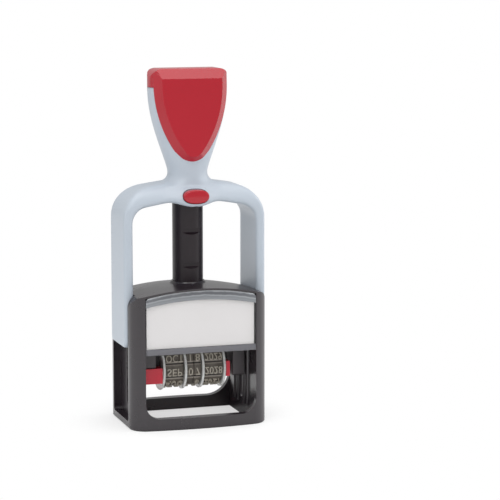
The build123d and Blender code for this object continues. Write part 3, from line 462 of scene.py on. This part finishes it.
yoke_mesh = smooth_shaded(applied(blank, "yoke_moulding"))

# ABS: pale blue-grey with an even satin skin. A 0.5 mm grain breaks the gloss, and over
# a few centimetres the colour drifts by a shade.
yoke_plastic = moulded_plastic("abs_blue_grey_satin_moulded", "ABB4BE", "B2BBC5",
                               roughness=0.36, mottle_mm=18.0, grain_mm=0.5,
                               grain_depth_mm=0.003)
show("yoke_moulding", yoke_mesh, yoke_plastic, "handle", ["yoke"])


# Handle cap: glossy red ABS. A saddle over the top joins two bevelled shields that lie in
# shallow recesses of the handle's front and back. The shields' faces are left bare.

CAP_HALF_W, CAP_TOP_Z, CAP_CORNER_R = 17.5, 156.5, 4.5


def corner_cutter(side, half_w, top_z, radius, half_d):
    """What lies outside a rounded upper corner in front view, as a closed shell: the side is 1 or
    -1, and the round is x = half_w - r + r cos t, z = top_z - r + r sin t."""
    t = np.linspace(0, math.pi / 2, 17)
    x = np.concatenate([half_w - radius + radius * np.cos(t),
                        [half_w - radius, half_w + 2, half_w + 2]])
    z = np.concatenate([top_z - radius + radius * np.sin(t),
                        [top_z + 3, top_z + 3, top_z - radius]])
    return tube_mesh("corner", np.array([np.stack([side * x, np.full_like(x, y), z], 1)
                                         for y in (-half_d, half_d)]))


# ABS: a strong cool red with a high gloss, even over 2 cm, and hardly any grain.
red_plastic = moulded_plastic("abs_red_gloss_moulded", "A0061C", "A80820",
                              roughness=0.24, mottle_mm=20.0, grain_mm=0.7,
                              grain_depth_mm=0.003)
cap_blank = joined("cap_blank", [merged_copy("handle_cap", "cap_blank")])
carve(cap_blank, [corner_cutter(side, CAP_HALF_W, CAP_TOP_Z, CAP_CORNER_R, 20.0)
                  for side in (1, -1)])
cap = show("cap_saddle", applied(cap_blank, "cap_saddle"), red_plastic,
           "handle", ["handle_cap"])
soften(cap, 0.5, 20.0, 3)


# Lock button: a domed oval of the same red ABS, with a blade behind it that drops into the
# column's notches. Its rim is a quarter round, and its face stands a little proud in the middle.

BUTTON_HALF_W, BUTTON_HALF_H, BUTTON_BACK_Y = 5.7, 3.0, -12.7
RIM_Y, RIM_R, FACE_RISE, FACE_BORDER = -14.75, 0.75, 0.18, 1.9
BLADE_HALF_W, BLADE_LOW_Z, BLADE_HIGH_Z, BLADE_BACK_Y = 3.2, 100.7, 101.9, -7.01

turn = np.linspace(0, math.pi / 2, 10)
share = np.array([0.35, 0.7, 1.0])
dome_y = np.concatenate([[BUTTON_BACK_Y], RIM_Y - RIM_R * np.sin(turn),
                         RIM_Y - RIM_R - FACE_RISE * share])
dome_shrink = np.concatenate([[0.0], RIM_R * (1 - np.cos(turn)), RIM_R + FACE_BORDER * share])
dome = oval_rings(BUTTON_HALF_W, BUTTON_HALF_H, zip(dome_y, dome_shrink))
show("lock_button_dome", smooth_shaded(tube_mesh("lock_button_dome", dome), 50.0),
     red_plastic, "button", ["lock_button"])
blade = show("lock_blade", cuboid("lock_blade", (-BLADE_HALF_W, BUTTON_BACK_Y - 0.1, BLADE_LOW_Z),
                                  (BLADE_HALF_W, BLADE_BACK_Y, BLADE_HIGH_Z)),
             red_plastic, "button")
soften(blade, 0.25)


# Trunnion pins, axle and clip: turned and drawn steel. The pins are pressed into the arms and
# carry the die carrier; the axle carries the four wheels, and the clip keeps it in the frame.

pin_steel = steel("steel_turned", "C4C5C8", "A3A5A8", roughness=0.28, drawn_mm=0.25)
for node, body in (("pin_left", "handle"), ("pin_right", "handle"),
                   ("wheel_axle", "carrier"), ("axle_clip", "carrier")):
    pin = show(node + "_turned", merged_copy(node, node + "_turned"), pin_steel,
               body, [node])
    soften(pin, 0.15)


# Die carrier: a dark grey ABS frame with two ears that hang on the pins. On it lie a foam
# cushion and the rubber die, whose raised border prints the frame; its text area is bare.

carrier_plastic = moulded_plastic("abs_dark_grey_moulded", "3A3538", "443F42",
                                  roughness=0.4, mottle_mm=7.0, grain_mm=0.5,
                                  grain_depth_mm=0.006)
carrier = show("carrier_moulding", merged_copy("die_carrier", "carrier_moulding"),
               carrier_plastic, "carrier", ["die_carrier"])
soften(carrier, 0.35)

# Foam: open cells of about 0.35 mm at the cut edge, quite matt.
foam = moulded_plastic("foam_grey_cut", "4A4A4C", "5B5B5D",
                       roughness=0.85, mottle_mm=0.8, grain_mm=0.35, grain_depth_mm=0.05)
cushion = show("die_cushion", merged_copy("plate_backing", "die_cushion"), foam,
               "carrier", ["plate_backing"])
soften(cushion, 0.1)

# Rubber: pressed in a mould and cut to size, warm grey and dull.
rubber = moulded_plastic("rubber_grey_pressed", "6A6259", "777067",
                         roughness=0.62, mottle_mm=4.0, grain_mm=0.3, grain_depth_mm=0.01)
die = show("die_rubber_plate", merged_copy("text_plate", "die_rubber_plate"), rubber,
           "carrier", ["text_plate"])
soften(die, 0.12)


# Date unit: a red polystyrene frame that holds the axle, and the black comb that the bands run
# over at the printing face. Both are moulded and clip into the carrier.

unit_red = moulded_plastic("polystyrene_red_moulded", "C80A2C", "D01032",
                           roughness=0.34, mottle_mm=5.0, grain_mm=0.6, grain_depth_mm=0.005)
unit = show("date_frame_moulding", merged_copy("date_unit_frame", "date_frame_moulding"),
            unit_red, "carrier", ["date_unit_frame"])
soften(unit, 0.35)
comb = show("band_comb", merged_copy("band_bridge", "band_comb"), nylon,
            "carrier", ["band_bridge"])
soften(comb, 0.2)


# Thumb wheels: clear polystyrene discs with toothed rims that a finger turns, each with a
# 16-sided hub that drives its band. Each disc is thinner inside its rim.

WHEEL_Z, WHEEL_R, WHEEL_TEETH, TOOTH_DEPTH = 23.5, 9.7, 90, 0.3
RIM_EDGE, RIM_IN, WEB_OUT, WEB_SUNK = 0.12, 1.5, 1.9, 0.12
AXLE_BORE_R, HUB_R, HUB_SIDES = 1.56, 6.6, 16

# Left and right side of each disc, then of its band, in mm along the axle.
STACK = {
    "month": (-13.95, -12.95, -12.75, -4.25), "tens": (-4.05, -3.05, -2.85, 0.35),
    "units": (3.95, 4.95, 0.55, 3.75), "year": (13.85, 14.85, 5.15, 13.65)}


def wheel_grid(x0, x1):
    """Toothed disc with its bore: the rim's radius is WHEEL_R - TOOTH_DEPTH * (0.5 - 0.5
    cos(WHEEL_TEETH t)) ^ 0.8, carried round a profile that goes in over one face, through the bore
    and out over the other. Within WEB_OUT of the rim each face steps in by WEB_SUNK."""
    t = np.linspace(0, 2 * math.pi, WHEEL_TEETH * 6, endpoint=False)
    rim = WHEEL_R - TOOTH_DEPTH * (0.5 - 0.5 * np.cos(WHEEL_TEETH * t)) ** 0.8
    even = np.ones_like(t)
    lip, web, bore = (WHEEL_R - RIM_IN) * even, (WHEEL_R - WEB_OUT) * even, AXLE_BORE_R * even
    side = [(rim, RIM_EDGE), (rim - RIM_EDGE, 0.0), (lip, 0.0), (web, WEB_SUNK), (bore, WEB_SUNK)]
    profile = ([(radius, x1 - inset) for radius, inset in side]
               + [(radius, x0 + inset) for radius, inset in side[::-1]])
    return np.array([np.stack([x * even, radius * np.cos(t), WHEEL_Z + radius * np.sin(t)], 1)
                     for radius, x in profile])


def loop_mesh(name, grid):
    """A closed ring of surface from a grid (around the section, around the axis, 3): both
    directions run back into themselves."""
    rows, cols = grid.shape[:2]
    index = np.arange(rows * cols).reshape(rows, cols)
    down, right = np.roll(index, -1, 0), np.roll(index, -1, 1)
    both = np.roll(down, -1, 1)
    mesh = bpy.data.meshes.new(name)
    mesh.from_pydata((grid.reshape(-1, 3) * MM).tolist(), [],
                     np.stack([index, right, both, down], -1).reshape(-1, 4).tolist())
    return facing_out(mesh)


def clouded_polystyrene():
    """Polystyrene: clear when new, here clouded by handling, so that about a sixth of the light
    goes straight through and the rest scatters white. Clouds come about every 1.2 mm."""
    material, tree = new_material("polystyrene_clouded_moulded")
    place = add(tree, "TexCoord")
    cloud = add(tree, "TexNoise", {"Scale": 1 / (1.2 * MM), "Detail": 4.0},
                {"Vector": (place, "Object")})
    veil = add(tree, "MapRange", {"From Min": 0.3, "From Max": 0.7, "To Min": 0.78, "To Max": 0.92},
               {"Value": (cloud, "Fac")})
    bump = add(tree, "Bump", {"Strength": 0.5, "Distance": 0.01 * MM}, {"Height": (cloud, "Fac")})
    shader = add(tree, "BsdfPrincipled",
                 {"Base Color": linear("F0F1EF"), "Roughness": 0.22, "IOR": 1.59,
                  "Coat Weight": 0.4},
                 {"Alpha": (veil, 0), "Normal": (bump, 0)})
    add(tree, "OutputMaterial", links={"Surface": (shader, 0)})
    return material


wheel_clear = clouded_polystyrene()
for dial, (x0, x1, band0, band1) in STACK.items():
    show(dial + "_disc", smooth_shaded(loop_mesh(dial + "_disc", wheel_grid(x0, x1))),
         wheel_clear, dial + "_dial", [dial + "_wheel"])
    hub_low, hub_high = (x1 - WEB_SUNK, band1) if band0 > x0 else (band0, x0 + WEB_SUNK)
    middle = (0, 0, WHEEL_Z)
    hub = joined(dial + "_hub", [rod(dial + "_hub", HUB_R, hub_low, hub_high, "x", middle,
                                     HUB_SIDES)])
    carve(hub, [rod("hub_bore", AXLE_BORE_R, hub_low - 1, hub_high + 1, "x", middle, 48)])
    show(dial + "_hub", smooth_shaded(applied(hub, dial + "_hub"), 15.0), wheel_clear,
         dial + "_dial")


# Date bands: endless vulcanised rubber belts with raised characters on a pad for each row,
# mirrored so that they print the right way round. The rubber is grey, dark in the grooves
# between the pads, with a painted highlight along the pads' edges.

NOSE_Z, NOSE_HALF_D, NOSE_R = 46.8, 2.2, 1.2
BAND_PATH_R, BAND_T, BAND_EDGE = 6.9, 1.0, 0.18
PAD_T, ROW_PITCH, GROOVE_FLOOR, GROOVE_SIDE = 0.3, 5.9, 0.32, 0.25
CHAR_SIZE, CHAR_H, CHAR_ROOT, CHAR_MARGIN = 4.5, 0.7, 0.15, 0.6


def belt_path(outset, count):
    """Points (y, z) and outward normals, evenly spaced by length, on the belt's line: two nose
    arcs, the hub's arc and the tangent lines between them, all outset by the same distance.
    It starts at the top of the nose and runs towards -Y; a normal is the run turned by 90 deg,
    away from a point inside the loop."""
    big, small = BAND_PATH_R + outset, NOSE_R + outset
    gap = np.array([-NOSE_HALF_D, NOSE_Z - WHEEL_Z])
    reach = np.linalg.norm(gap)
    lean = math.atan2(gap[1], gap[0]) + math.acos((big - small) / reach)
    arc = np.linspace(math.pi / 2, lean, 80)
    nose = np.stack([-NOSE_HALF_D + small * np.cos(arc), NOSE_Z + small * np.sin(arc)], 1)
    arc = np.linspace(lean, 3 * math.pi / 2, 160)
    hub = np.stack([big * np.cos(arc), WHEEL_Z + big * np.sin(arc)], 1)
    left = np.concatenate([[[0.0, NOSE_Z + small]], nose, hub])
    right = left[::-1] * np.array([-1.0, 1.0])
    line = np.concatenate([left, right[1:]])
    step = np.concatenate([[0], np.cumsum(np.linalg.norm(np.diff(line, axis=0), axis=1))])
    want = np.linspace(0, step[-1], count, endpoint=False)
    spot = np.stack([np.interp(want, step, line[:, i]) for i in (0, 1)], 1)
    ahead = np.stack([np.interp((want + 0.05) % step[-1], step, line[:, i]) for i in (0, 1)], 1)
    run = ahead - spot
    run /= np.linalg.norm(run, axis=1)[:, None]
    normal = np.stack([run[:, 1], -run[:, 0]], 1)
    inside = np.array([0, WHEEL_Z + 6])
    normal *= np.sign(np.sum(normal * (spot - inside), 1))[:, None]
    return spot, normal, step[-1]


ROWS = int(belt_path(BAND_T + PAD_T, 400)[2] / ROW_PITCH)


def belt_grid(x0, x1):
    """A belt's section (inner, outer, and a pad that rises PAD_T between the row grooves) carried
    round belt_path. With the share u = (distance to the groove - GROOVE_FLOOR) / GROOVE_SIDE kept
    between 0 and 1, the pad's height is PAD_T u^2 (3 - 2 u). Returns the grid and, for each step
    along the belt, the distance in mm to the middle of the nearest groove."""
    count = ROWS * 28
    spot, normal, length = belt_path(0.0, count)
    place = (np.arange(count) / count * ROWS + 0.5) % 1.0
    away = np.minimum(place, 1 - place) * length / ROWS
    lift = np.clip((away - GROOVE_FLOOR) / GROOVE_SIDE, 0, 1)
    lift = lift * lift * (3 - 2 * lift)
    section = [(x0, 0, 0), (x0, BAND_T - BAND_EDGE, 0.9), (x0 + BAND_EDGE, BAND_T, 1),
               (x1 - BAND_EDGE, BAND_T, 1), (x1, BAND_T - BAND_EDGE, 0.9), (x1, 0, 0)]
    rings = []
    for x, height, share in section:
        flat = spot + normal * (height + PAD_T * lift * share)[:, None]
        rings.append(np.stack([np.full(count, x), flat[:, 0], flat[:, 1]], 1))
    return np.array(rings), away


def character_mesh(name, words, x0, x1):
    """Raised characters on a belt. Row i lies at i / ROWS of the belt's length; across the belt
    the text runs to +X, and its top points on along the belt, so that the rows are mirrored and
    print the right way round. Each outline is bent onto the belt's curve: a point is the belt's
    point there + its outward normal * height, with CHAR_H for the face and -CHAR_ROOT behind."""
    fine = 2400
    spot, normal, length = belt_path(BAND_T + PAD_T, fine)
    work = bmesh.new()
    for row, word in enumerate(words):
        if not word:
            continue
        curve = bpy.data.curves.new("row_text", "FONT")
        curve.body = word
        curve.size = CHAR_SIZE
        curve.align_x, curve.align_y = "CENTER", "CENTER"
        curve.extrude = 0.5
        curve.resolution_u = 3
        curve.space_character = 1.05
        holder = bpy.data.objects.new("row_text", curve)
        bpy.context.scene.collection.objects.link(holder)
        mesh = applied(holder, "row_text")
        points = np.zeros(len(mesh.vertices) * 3)
        mesh.vertices.foreach_get("co", points)
        points = points.reshape(-1, 3)
        middle = (points.max(0) + points.min(0)) / 2
        wide = points[:, 0].max() - points[:, 0].min()
        squeeze = min(1.0, (x1 - x0 - CHAR_MARGIN) / wide)
        across = (x0 + x1) / 2 + (points[:, 0] - middle[0]) * squeeze
        along = row / ROWS * length + points[:, 1] - middle[1]
        height = np.where(points[:, 2] > 0, CHAR_H, -CHAR_ROOT)
        at = (along / length * fine) % fine
        low = np.floor(at).astype(int) % fine
        high = (low + 1) % fine
        share = (at - np.floor(at))[:, None]
        base_point = spot[low] * (1 - share) + spot[high] * share
        out = normal[low] * (1 - share) + normal[high] * share
        flat = base_point + out * height[:, None]
        placed = np.stack([across, flat[:, 0], flat[:, 1]], 1) * MM
        mesh.vertices.foreach_set("co", placed.astype(np.float32).ravel())
        work.from_mesh(mesh)
    bmesh.ops.remove_doubles(work, verts=work.verts, dist=1e-7)
    mesh = bpy.data.meshes.new(name)
    work.to_mesh(mesh)
    work.free()
    return facing_out(mesh)


def set_tones(ramp, tones):
    """Puts (place, sRGB hex) tones on a colour ramp, whose two ends are at 0 and 1."""
    for spot, code in tones:
        stop = ramp.elements.new(spot) if 0 < spot < 1 else ramp.elements[-1 if spot else 0]
        stop.color = linear(code)


def edge_lit_belt_rubber():
    """Rubber: grey-brown and matt. Within 0.3 mm of a groove it is dark, then a painted highlight
    makes it pale for half a millimetre along the pad's edge; a mottle of 1.5 mm runs over it all."""
    material, tree = new_material("rubber_warm_grey_vulcanised")
    place = add(tree, "TexCoord")
    mottle = add(tree, "TexNoise", {"Scale": 1 / (1.5 * MM), "Detail": 4.0},
                 {"Vector": (place, "Object")})
    edge = add(tree, "Attribute", {"attribute_name": "row_edge"})
    # Painted highlight: the pale stops along the pad's edge stand in for light on its shoulder; the
    # darkest stops lie in the groove.
    ramp = add(tree, "ValToRGB", links={0: (edge, "Fac")})
    set_tones(ramp.color_ramp, ((0.0, "2B2622"), (0.28, "2E2A26"), (0.42, "99928A"),
                                (0.75, "8A837A"), (1.0, "5E5850")))
    shade = add(tree, "MapRange", {"From Min": 0.3, "From Max": 0.7, "To Min": 0.8, "To Max": 1.15},
                {"Value": (mottle, "Fac")})
    colour = add(tree, "VectorMath", {"operation": "SCALE"},
                 {0: (ramp, "Color"), "Scale": (shade, 0)})
    bump = add(tree, "Bump", {"Strength": 0.6, "Distance": 0.02 * MM},
               {"Height": (mottle, "Fac")})
    shader = add(tree, "BsdfPrincipled", {"Roughness": 0.55, "IOR": 1.52},
                 {"Base Color": (colour, 0), "Normal": (bump, 0)})
    add(tree, "OutputMaterial", links={"Surface": (shader, 0)})
    return material


belt_rubber_painted_edges = edge_lit_belt_rubber()
# The characters' faces are the same rubber, rubbed pale by paper.
char_rubber = moulded_plastic("rubber_pale_rubbed", "A49D90", "B9B2A5",
                              roughness=0.5, mottle_mm=1.2, grain_mm=0.3, grain_depth_mm=0.02)
WORDS = {
    "month": ["JAN", "", "DEC", "NOV", "OCT", "SEP", "AUG", "JUL", "JUN", "MAY", "APR", "MAR",
              "FEB", ""],
    "tens": ["1", "", "3", "2", "1", "0", "", "3", "2", "1", "0", "", "3", "2"],
    "units": ["2", "1", "0", "9", "8", "7", "6", "5", "4", "3", "2", "1", "0", "9"],
    "year": ["2020", "", "2031", "2030", "2029", "2028", "2027", "2026", "2025", "2024", "2023",
             "2022", "2021", ""]}
for dial, (x0, x1, band0, band1) in STACK.items():
    grid, away = belt_grid(band0, band1)
    belt = smooth_shaded(loop_mesh(dial + "_belt", grid), 50.0)
    belt.attributes.new("row_edge", "FLOAT", "POINT").data.foreach_set(
        "value", np.tile(away, len(grid)).astype(np.float32))
    show(dial + "_belt", belt, belt_rubber_painted_edges, "carrier", [dial + "_band"])
    letters = character_mesh(dial + "_characters", WORDS[dial], band0, band1)
    show(dial + "_characters", smooth_shaded(letters, 30.0), char_rubber, "carrier")


# Ink cassette: a black polystyrene tray under the crown, drawn out at the back, with two felt
# pads: blue for the text and red for the date. The felt is soaked, so it is deep and matt.

def felt(name, dark, light):
    """Pressed felt: fibres about 0.4 mm apart, drawn coarse enough to show, in two shades of
    ink that blot over 5 mm."""
    material, tree = new_material(name)
    place = add(tree, "TexCoord")
    fibre = add(tree, "TexVoronoi", {"Scale": 1 / (0.4 * MM)}, {"Vector": (place, "Object")})
    blot = add(tree, "TexNoise", {"Scale": 1 / (5.0 * MM), "Detail": 4.0},
               {"Vector": (place, "Object")})
    colour = add(tree, "MixRGB", {1: linear(dark), 2: linear(light)}, {0: (blot, "Fac")})
    bump = add(tree, "Bump", {"Strength": 0.8, "Distance": 0.12 * MM},
               {"Height": (fibre, "Distance")})
    shader = add(tree, "BsdfPrincipled", {"Roughness": 0.9, "Sheen Weight": 0.3, "IOR": 1.5},
                 {"Base Color": (colour, 0), "Normal": (bump, 0)})
    add(tree, "OutputMaterial", links={"Surface": (shader, 0)})
    return material


# Polystyrene: black and half dull from a tool that isn't polished.
tray_plastic = moulded_plastic("polystyrene_black_moulded", "201B1D", "2A2427",
                               roughness=0.42, mottle_mm=8.0, grain_mm=0.5,
                               grain_depth_mm=0.006)
tray = show("pad_tray", merged_copy("pad_cassette", "pad_tray"), tray_plastic,
            "cassette", ["pad_cassette"])
soften(tray, 0.25)

blue_felt = felt("felt_blue_inked", "141E52", "22307A")
red_felt = felt("felt_red_inked", "6E0F1C", "94182A")
for node, name, material, slot in (("ink_pad_text", "text_felt", blue_felt, "felt_blue"),
                                   ("ink_pad_date", "date_felt", red_felt, "felt_red")):
    pad = show(name, merged_copy(node, name), material, "cassette", [node])
    soften(pad, 0.3)


# Index window: a clear styrene cover that clips into the recess of the front wall, over a card
# of white board with a bare face. The cover's rim follows the arch of the crown.

COVER_HALF_W, COVER_TOP_Z, COVER_CORNER_R = 24.9, 58.9, 2.2
CARD_ARCH_Z, CARD_ARCH_FALL, CARD_FOOT_Z = 57.0, 0.00429, 36.1
CARD_MIDDLE_Y, CARD_THINNED = -20.05, 0.2


def polished_styrene():
    """Styrene: the pane over the card is polished and clear, with a mirror share of 4 per cent
    that grows with (1 - cos)^5. The border above the card's arch, z + CARD_ARCH_FALL x^2 over
    CARD_ARCH_Z, and under its foot is matt from the tool, with painted highlights and painted
    streaky reflections in light and dark greys that follow the arch."""
    material, tree = new_material("styrene_clear_polished")
    place = add(tree, "TexCoord")
    in_mm = add(tree, "VectorMath", {"operation": "SCALE", "Scale": 1 / MM},
                {0: (place, "Object")})
    axes = add(tree, "SeparateXYZ", links={0: (in_mm, 0)})
    x2 = add(tree, "Math", {"operation": "POWER", 1: 2.0}, {0: (axes, "X")})
    arch = add(tree, "Math", {"operation": "MULTIPLY_ADD", 1: CARD_ARCH_FALL},
               {0: (x2, 0), 2: (axes, "Z")})
    over = add(tree, "Math", {"operation": "GREATER_THAN", 1: CARD_ARCH_Z}, {0: (arch, 0)})
    under = add(tree, "Math", {"operation": "LESS_THAN", 1: CARD_FOOT_Z}, {0: (axes, "Z")})
    border = add(tree, "Math", {"operation": "MAXIMUM"}, {0: (over, 0), 1: (under, 0)})
    facing = add(tree, "LayerWeight", {"Blend": 0.5})
    power = add(tree, "Math", {"operation": "POWER", 1: 5.0}, {0: (facing, "Facing")})
    mirror = add(tree, "MapRange", {"To Min": 0.04, "To Max": 1.0}, {"Value": (power, 0)})
    through = add(tree, "BsdfTransparent", {"Color": (0.97, 0.975, 0.98, 1)})
    gloss = add(tree, "BsdfAnisotropic", {"Roughness": 0.05})
    clear = add(tree, "MixShader", links={0: (mirror, 0), 1: (through, 0), 2: (gloss, 0)})
    # Painted reflections: grey bands along the arch, wavered by this 2.5 mm noise, with light lines
    # as painted highlights.
    painted_streak = add(tree, "TexNoise", {"Scale": 1 / (2.5 * MM), "Detail": 3.0},
                 {"Vector": (place, "Object")})
    wave = add(tree, "Math", {"operation": "MULTIPLY_ADD", 1: 0.9},
               {0: (painted_streak, "Fac"), 2: (arch, 0)})
    step = add(tree, "MapRange", {"From Min": 57.4, "From Max": 61.6}, {"Value": (wave, 0)})
    painted_gloss_tone = add(tree, "ValToRGB", links={0: (step, 0)})
    set_tones(painted_gloss_tone.color_ramp, ((0.0, "74747A"), (0.12, "8C9094"), (0.38, "82868B"),
                                (0.48, "A6AAAE"), (0.6, "64666C"), (0.8, "707378"),
                                (0.9, "B4B8BC"), (1.0, "C4C8CB")))
    veil = add(tree, "Math", {"operation": "MULTIPLY_ADD", 1: -0.25, 2: 0.85}, {0: (under, 0)})
    matt = add(tree, "BsdfPrincipled", {"Roughness": 0.3, "IOR": 1.59},
               {"Base Color": (painted_gloss_tone, 0), "Alpha": (veil, 0)})
    mix = add(tree, "MixShader", links={0: (border, 0), 1: (clear, 0), 2: (matt, 0)})
    add(tree, "OutputMaterial", links={"Surface": (mix, 0)})
    return material


cover_blank = joined("cover_blank", [merged_copy("index_window", "cover_blank")])
carve(cover_blank, [corner_cutter(side, COVER_HALF_W, COVER_TOP_Z, COVER_CORNER_R, 30.0)
                    for side in (1, -1)])
cover = show("index_cover", applied(cover_blank, "index_cover"), polished_styrene(),
             "window", ["index_window"])
soften(cover, 0.2)


def coated_card():
    """Card: white board with a thin coat, in two near whites that cloud over 0.8 mm fibres."""
    material, tree = new_material("card_white_coated")
    place = add(tree, "TexCoord")
    fibre = add(tree, "TexNoise", {"Scale": 1 / (0.8 * MM), "Detail": 4.0},
                {"Vector": (place, "Object")})
    colour = add(tree, "MixRGB", {1: linear("E4DFDD"), 2: linear("E9E5E3")}, {0: (fibre, "Fac")})
    bump = add(tree, "Bump", {"Strength": 0.5, "Distance": 0.02 * MM}, {"Height": (fibre, "Fac")})
    shader = add(tree, "BsdfPrincipled", {"Roughness": 0.7, "IOR": 1.45},
                 {"Base Color": (colour, 0), "Normal": (bump, 0)})
    add(tree, "OutputMaterial", links={"Surface": (shader, 0)})
    return material


# Both faces of the card draw in by a fifth of its half thickness, 0.03 mm, so that its skin
# never falls together with the cover's.
card_mesh = merged_copy("index_card", "index_card_sheet")
points = np.zeros(len(card_mesh.vertices) * 3)
card_mesh.vertices.foreach_get("co", points)
points = points.reshape(-1, 3)
points[:, 1] += (CARD_MIDDLE_Y * MM - points[:, 1]) * CARD_THINNED
card_mesh.vertices.foreach_set("co", points.astype(np.float32).ravel())
show("index_card_sheet", card_mesh, coated_card(), "window", ["index_card"])


# Studio: a pale floor that keeps the shadow, four soft lamps, and the camera at the angle of
# the photograph.

FLOOR_HALF, SHADOW_FULL, SHADOW_GONE = 3.0, 0.03, 0.07
CAMERA_PLACE, CAMERA_LENS = (-0.2462, -0.8604, 0.2048), 146.8
CAMERA_TILT, CAMERA_TURN = 8.197, 17.738


def floor_paper():
    """Paper: it keeps the object's shadow near its foot, and between 3 and 7 cm from the middle it
    turns into plain white for the camera."""
    material, tree = new_material("floor_paper_white")
    place = add(tree, "TexCoord")
    far = add(tree, "VectorMath", {"operation": "LENGTH"}, {0: (place, "Object")})
    blend = add(tree, "MapRange", {"interpolation_type": "SMOOTHSTEP", "From Min": SHADOW_FULL,
                                   "From Max": SHADOW_GONE, "To Min": 0.55},
                {"Value": (far, "Value")})
    path = add(tree, "LightPath")
    white = add(tree, "Math", {"operation": "MULTIPLY"},
                {0: (blend, 0), 1: (path, "Is Camera Ray")})
    paper = add(tree, "BsdfPrincipled", {"Base Color": (0.9, 0.9, 0.9, 1), "Roughness": 0.9})
    glow = add(tree, "Emission", {"Color": (1, 1, 1, 1), "Strength": 1.0})
    mix = add(tree, "MixShader", links={0: (white, 0), 1: (paper, 0), 2: (glow, 0)})
    add(tree, "OutputMaterial", links={"Surface": (mix, 0)})
    return material


floor_mesh = bpy.data.meshes.new("studio_floor")
floor_mesh.from_pydata([(x * FLOOR_HALF, y * FLOOR_HALF, 0.0)
                        for x, y in ((-1, -1), (1, -1), (1, 1), (-1, 1))], [], [(0, 1, 2, 3)])
floor_mesh.materials.append(floor_paper())
floor = bpy.data.objects.new("studio_floor", floor_mesh)
bpy.context.scene.collection.objects.link(floor)

# The world lights the object at 0.6 and shows white to the camera.
world = bpy.data.worlds.new("studio_world")
bpy.context.scene.world = world
world.use_nodes = True
sky = world.node_tree
sky.nodes.clear()
path = add(sky, "LightPath")
level = add(sky, "MapRange", {"To Min": 0.6, "To Max": 1.0}, {"Value": (path, "Is Camera Ray")})
background = add(sky, "Background", {"Color": (1, 1, 1, 1)}, {"Strength": (level, 0)})
add(sky, "OutputWorld", links={"Surface": (background, 0)})

# Square soft boxes: place, the point that each faces, its side in metres, and its watts.
for name, place, target, side, watts in (
        ("key_softbox", (-0.3, -0.8, 0.8), (0, 0, 0.07), 0.8, 3.0),
        ("left_softbox", (-1.1, -0.1, 0.5), (0, 0, 0.09), 1.2, 2.0),
        ("right_softbox", (1.0, -0.05, 0.35), (0, 0, 0.09), 1.1, 5.5),
        ("top_softbox", (0.0, -0.1, 1.0), (0, 0, 0.09), 0.9, 5.5)):
    light = bpy.data.lights.new(name, "AREA")
    light.shape = "SQUARE"
    light.size = side
    light.energy = watts
    lamp = bpy.data.objects.new(name, light)
    lamp.location = place
    lamp.rotation_mode = "QUATERNION"
    lamp.rotation_quaternion = (Vector(target) - Vector(place)).to_track_quat("-Z", "Y")
    bpy.context.scene.collection.objects.link(lamp)

camera_data = bpy.data.cameras.new("photo_camera")
camera_data.sensor_width = 36.0
camera_data.lens = CAMERA_LENS
camera_data.clip_start = 0.05
camera = bpy.data.objects.new("photo_camera", camera_data)
camera.location = CAMERA_PLACE
camera.rotation_euler = (math.radians(90 - CAMERA_TILT), 0.0, math.radians(-CAMERA_TURN))
bpy.context.scene.collection.objects.link(camera)
bpy.context.scene.camera = camera
bpy.context.scene.view_settings.view_transform = "Standard"
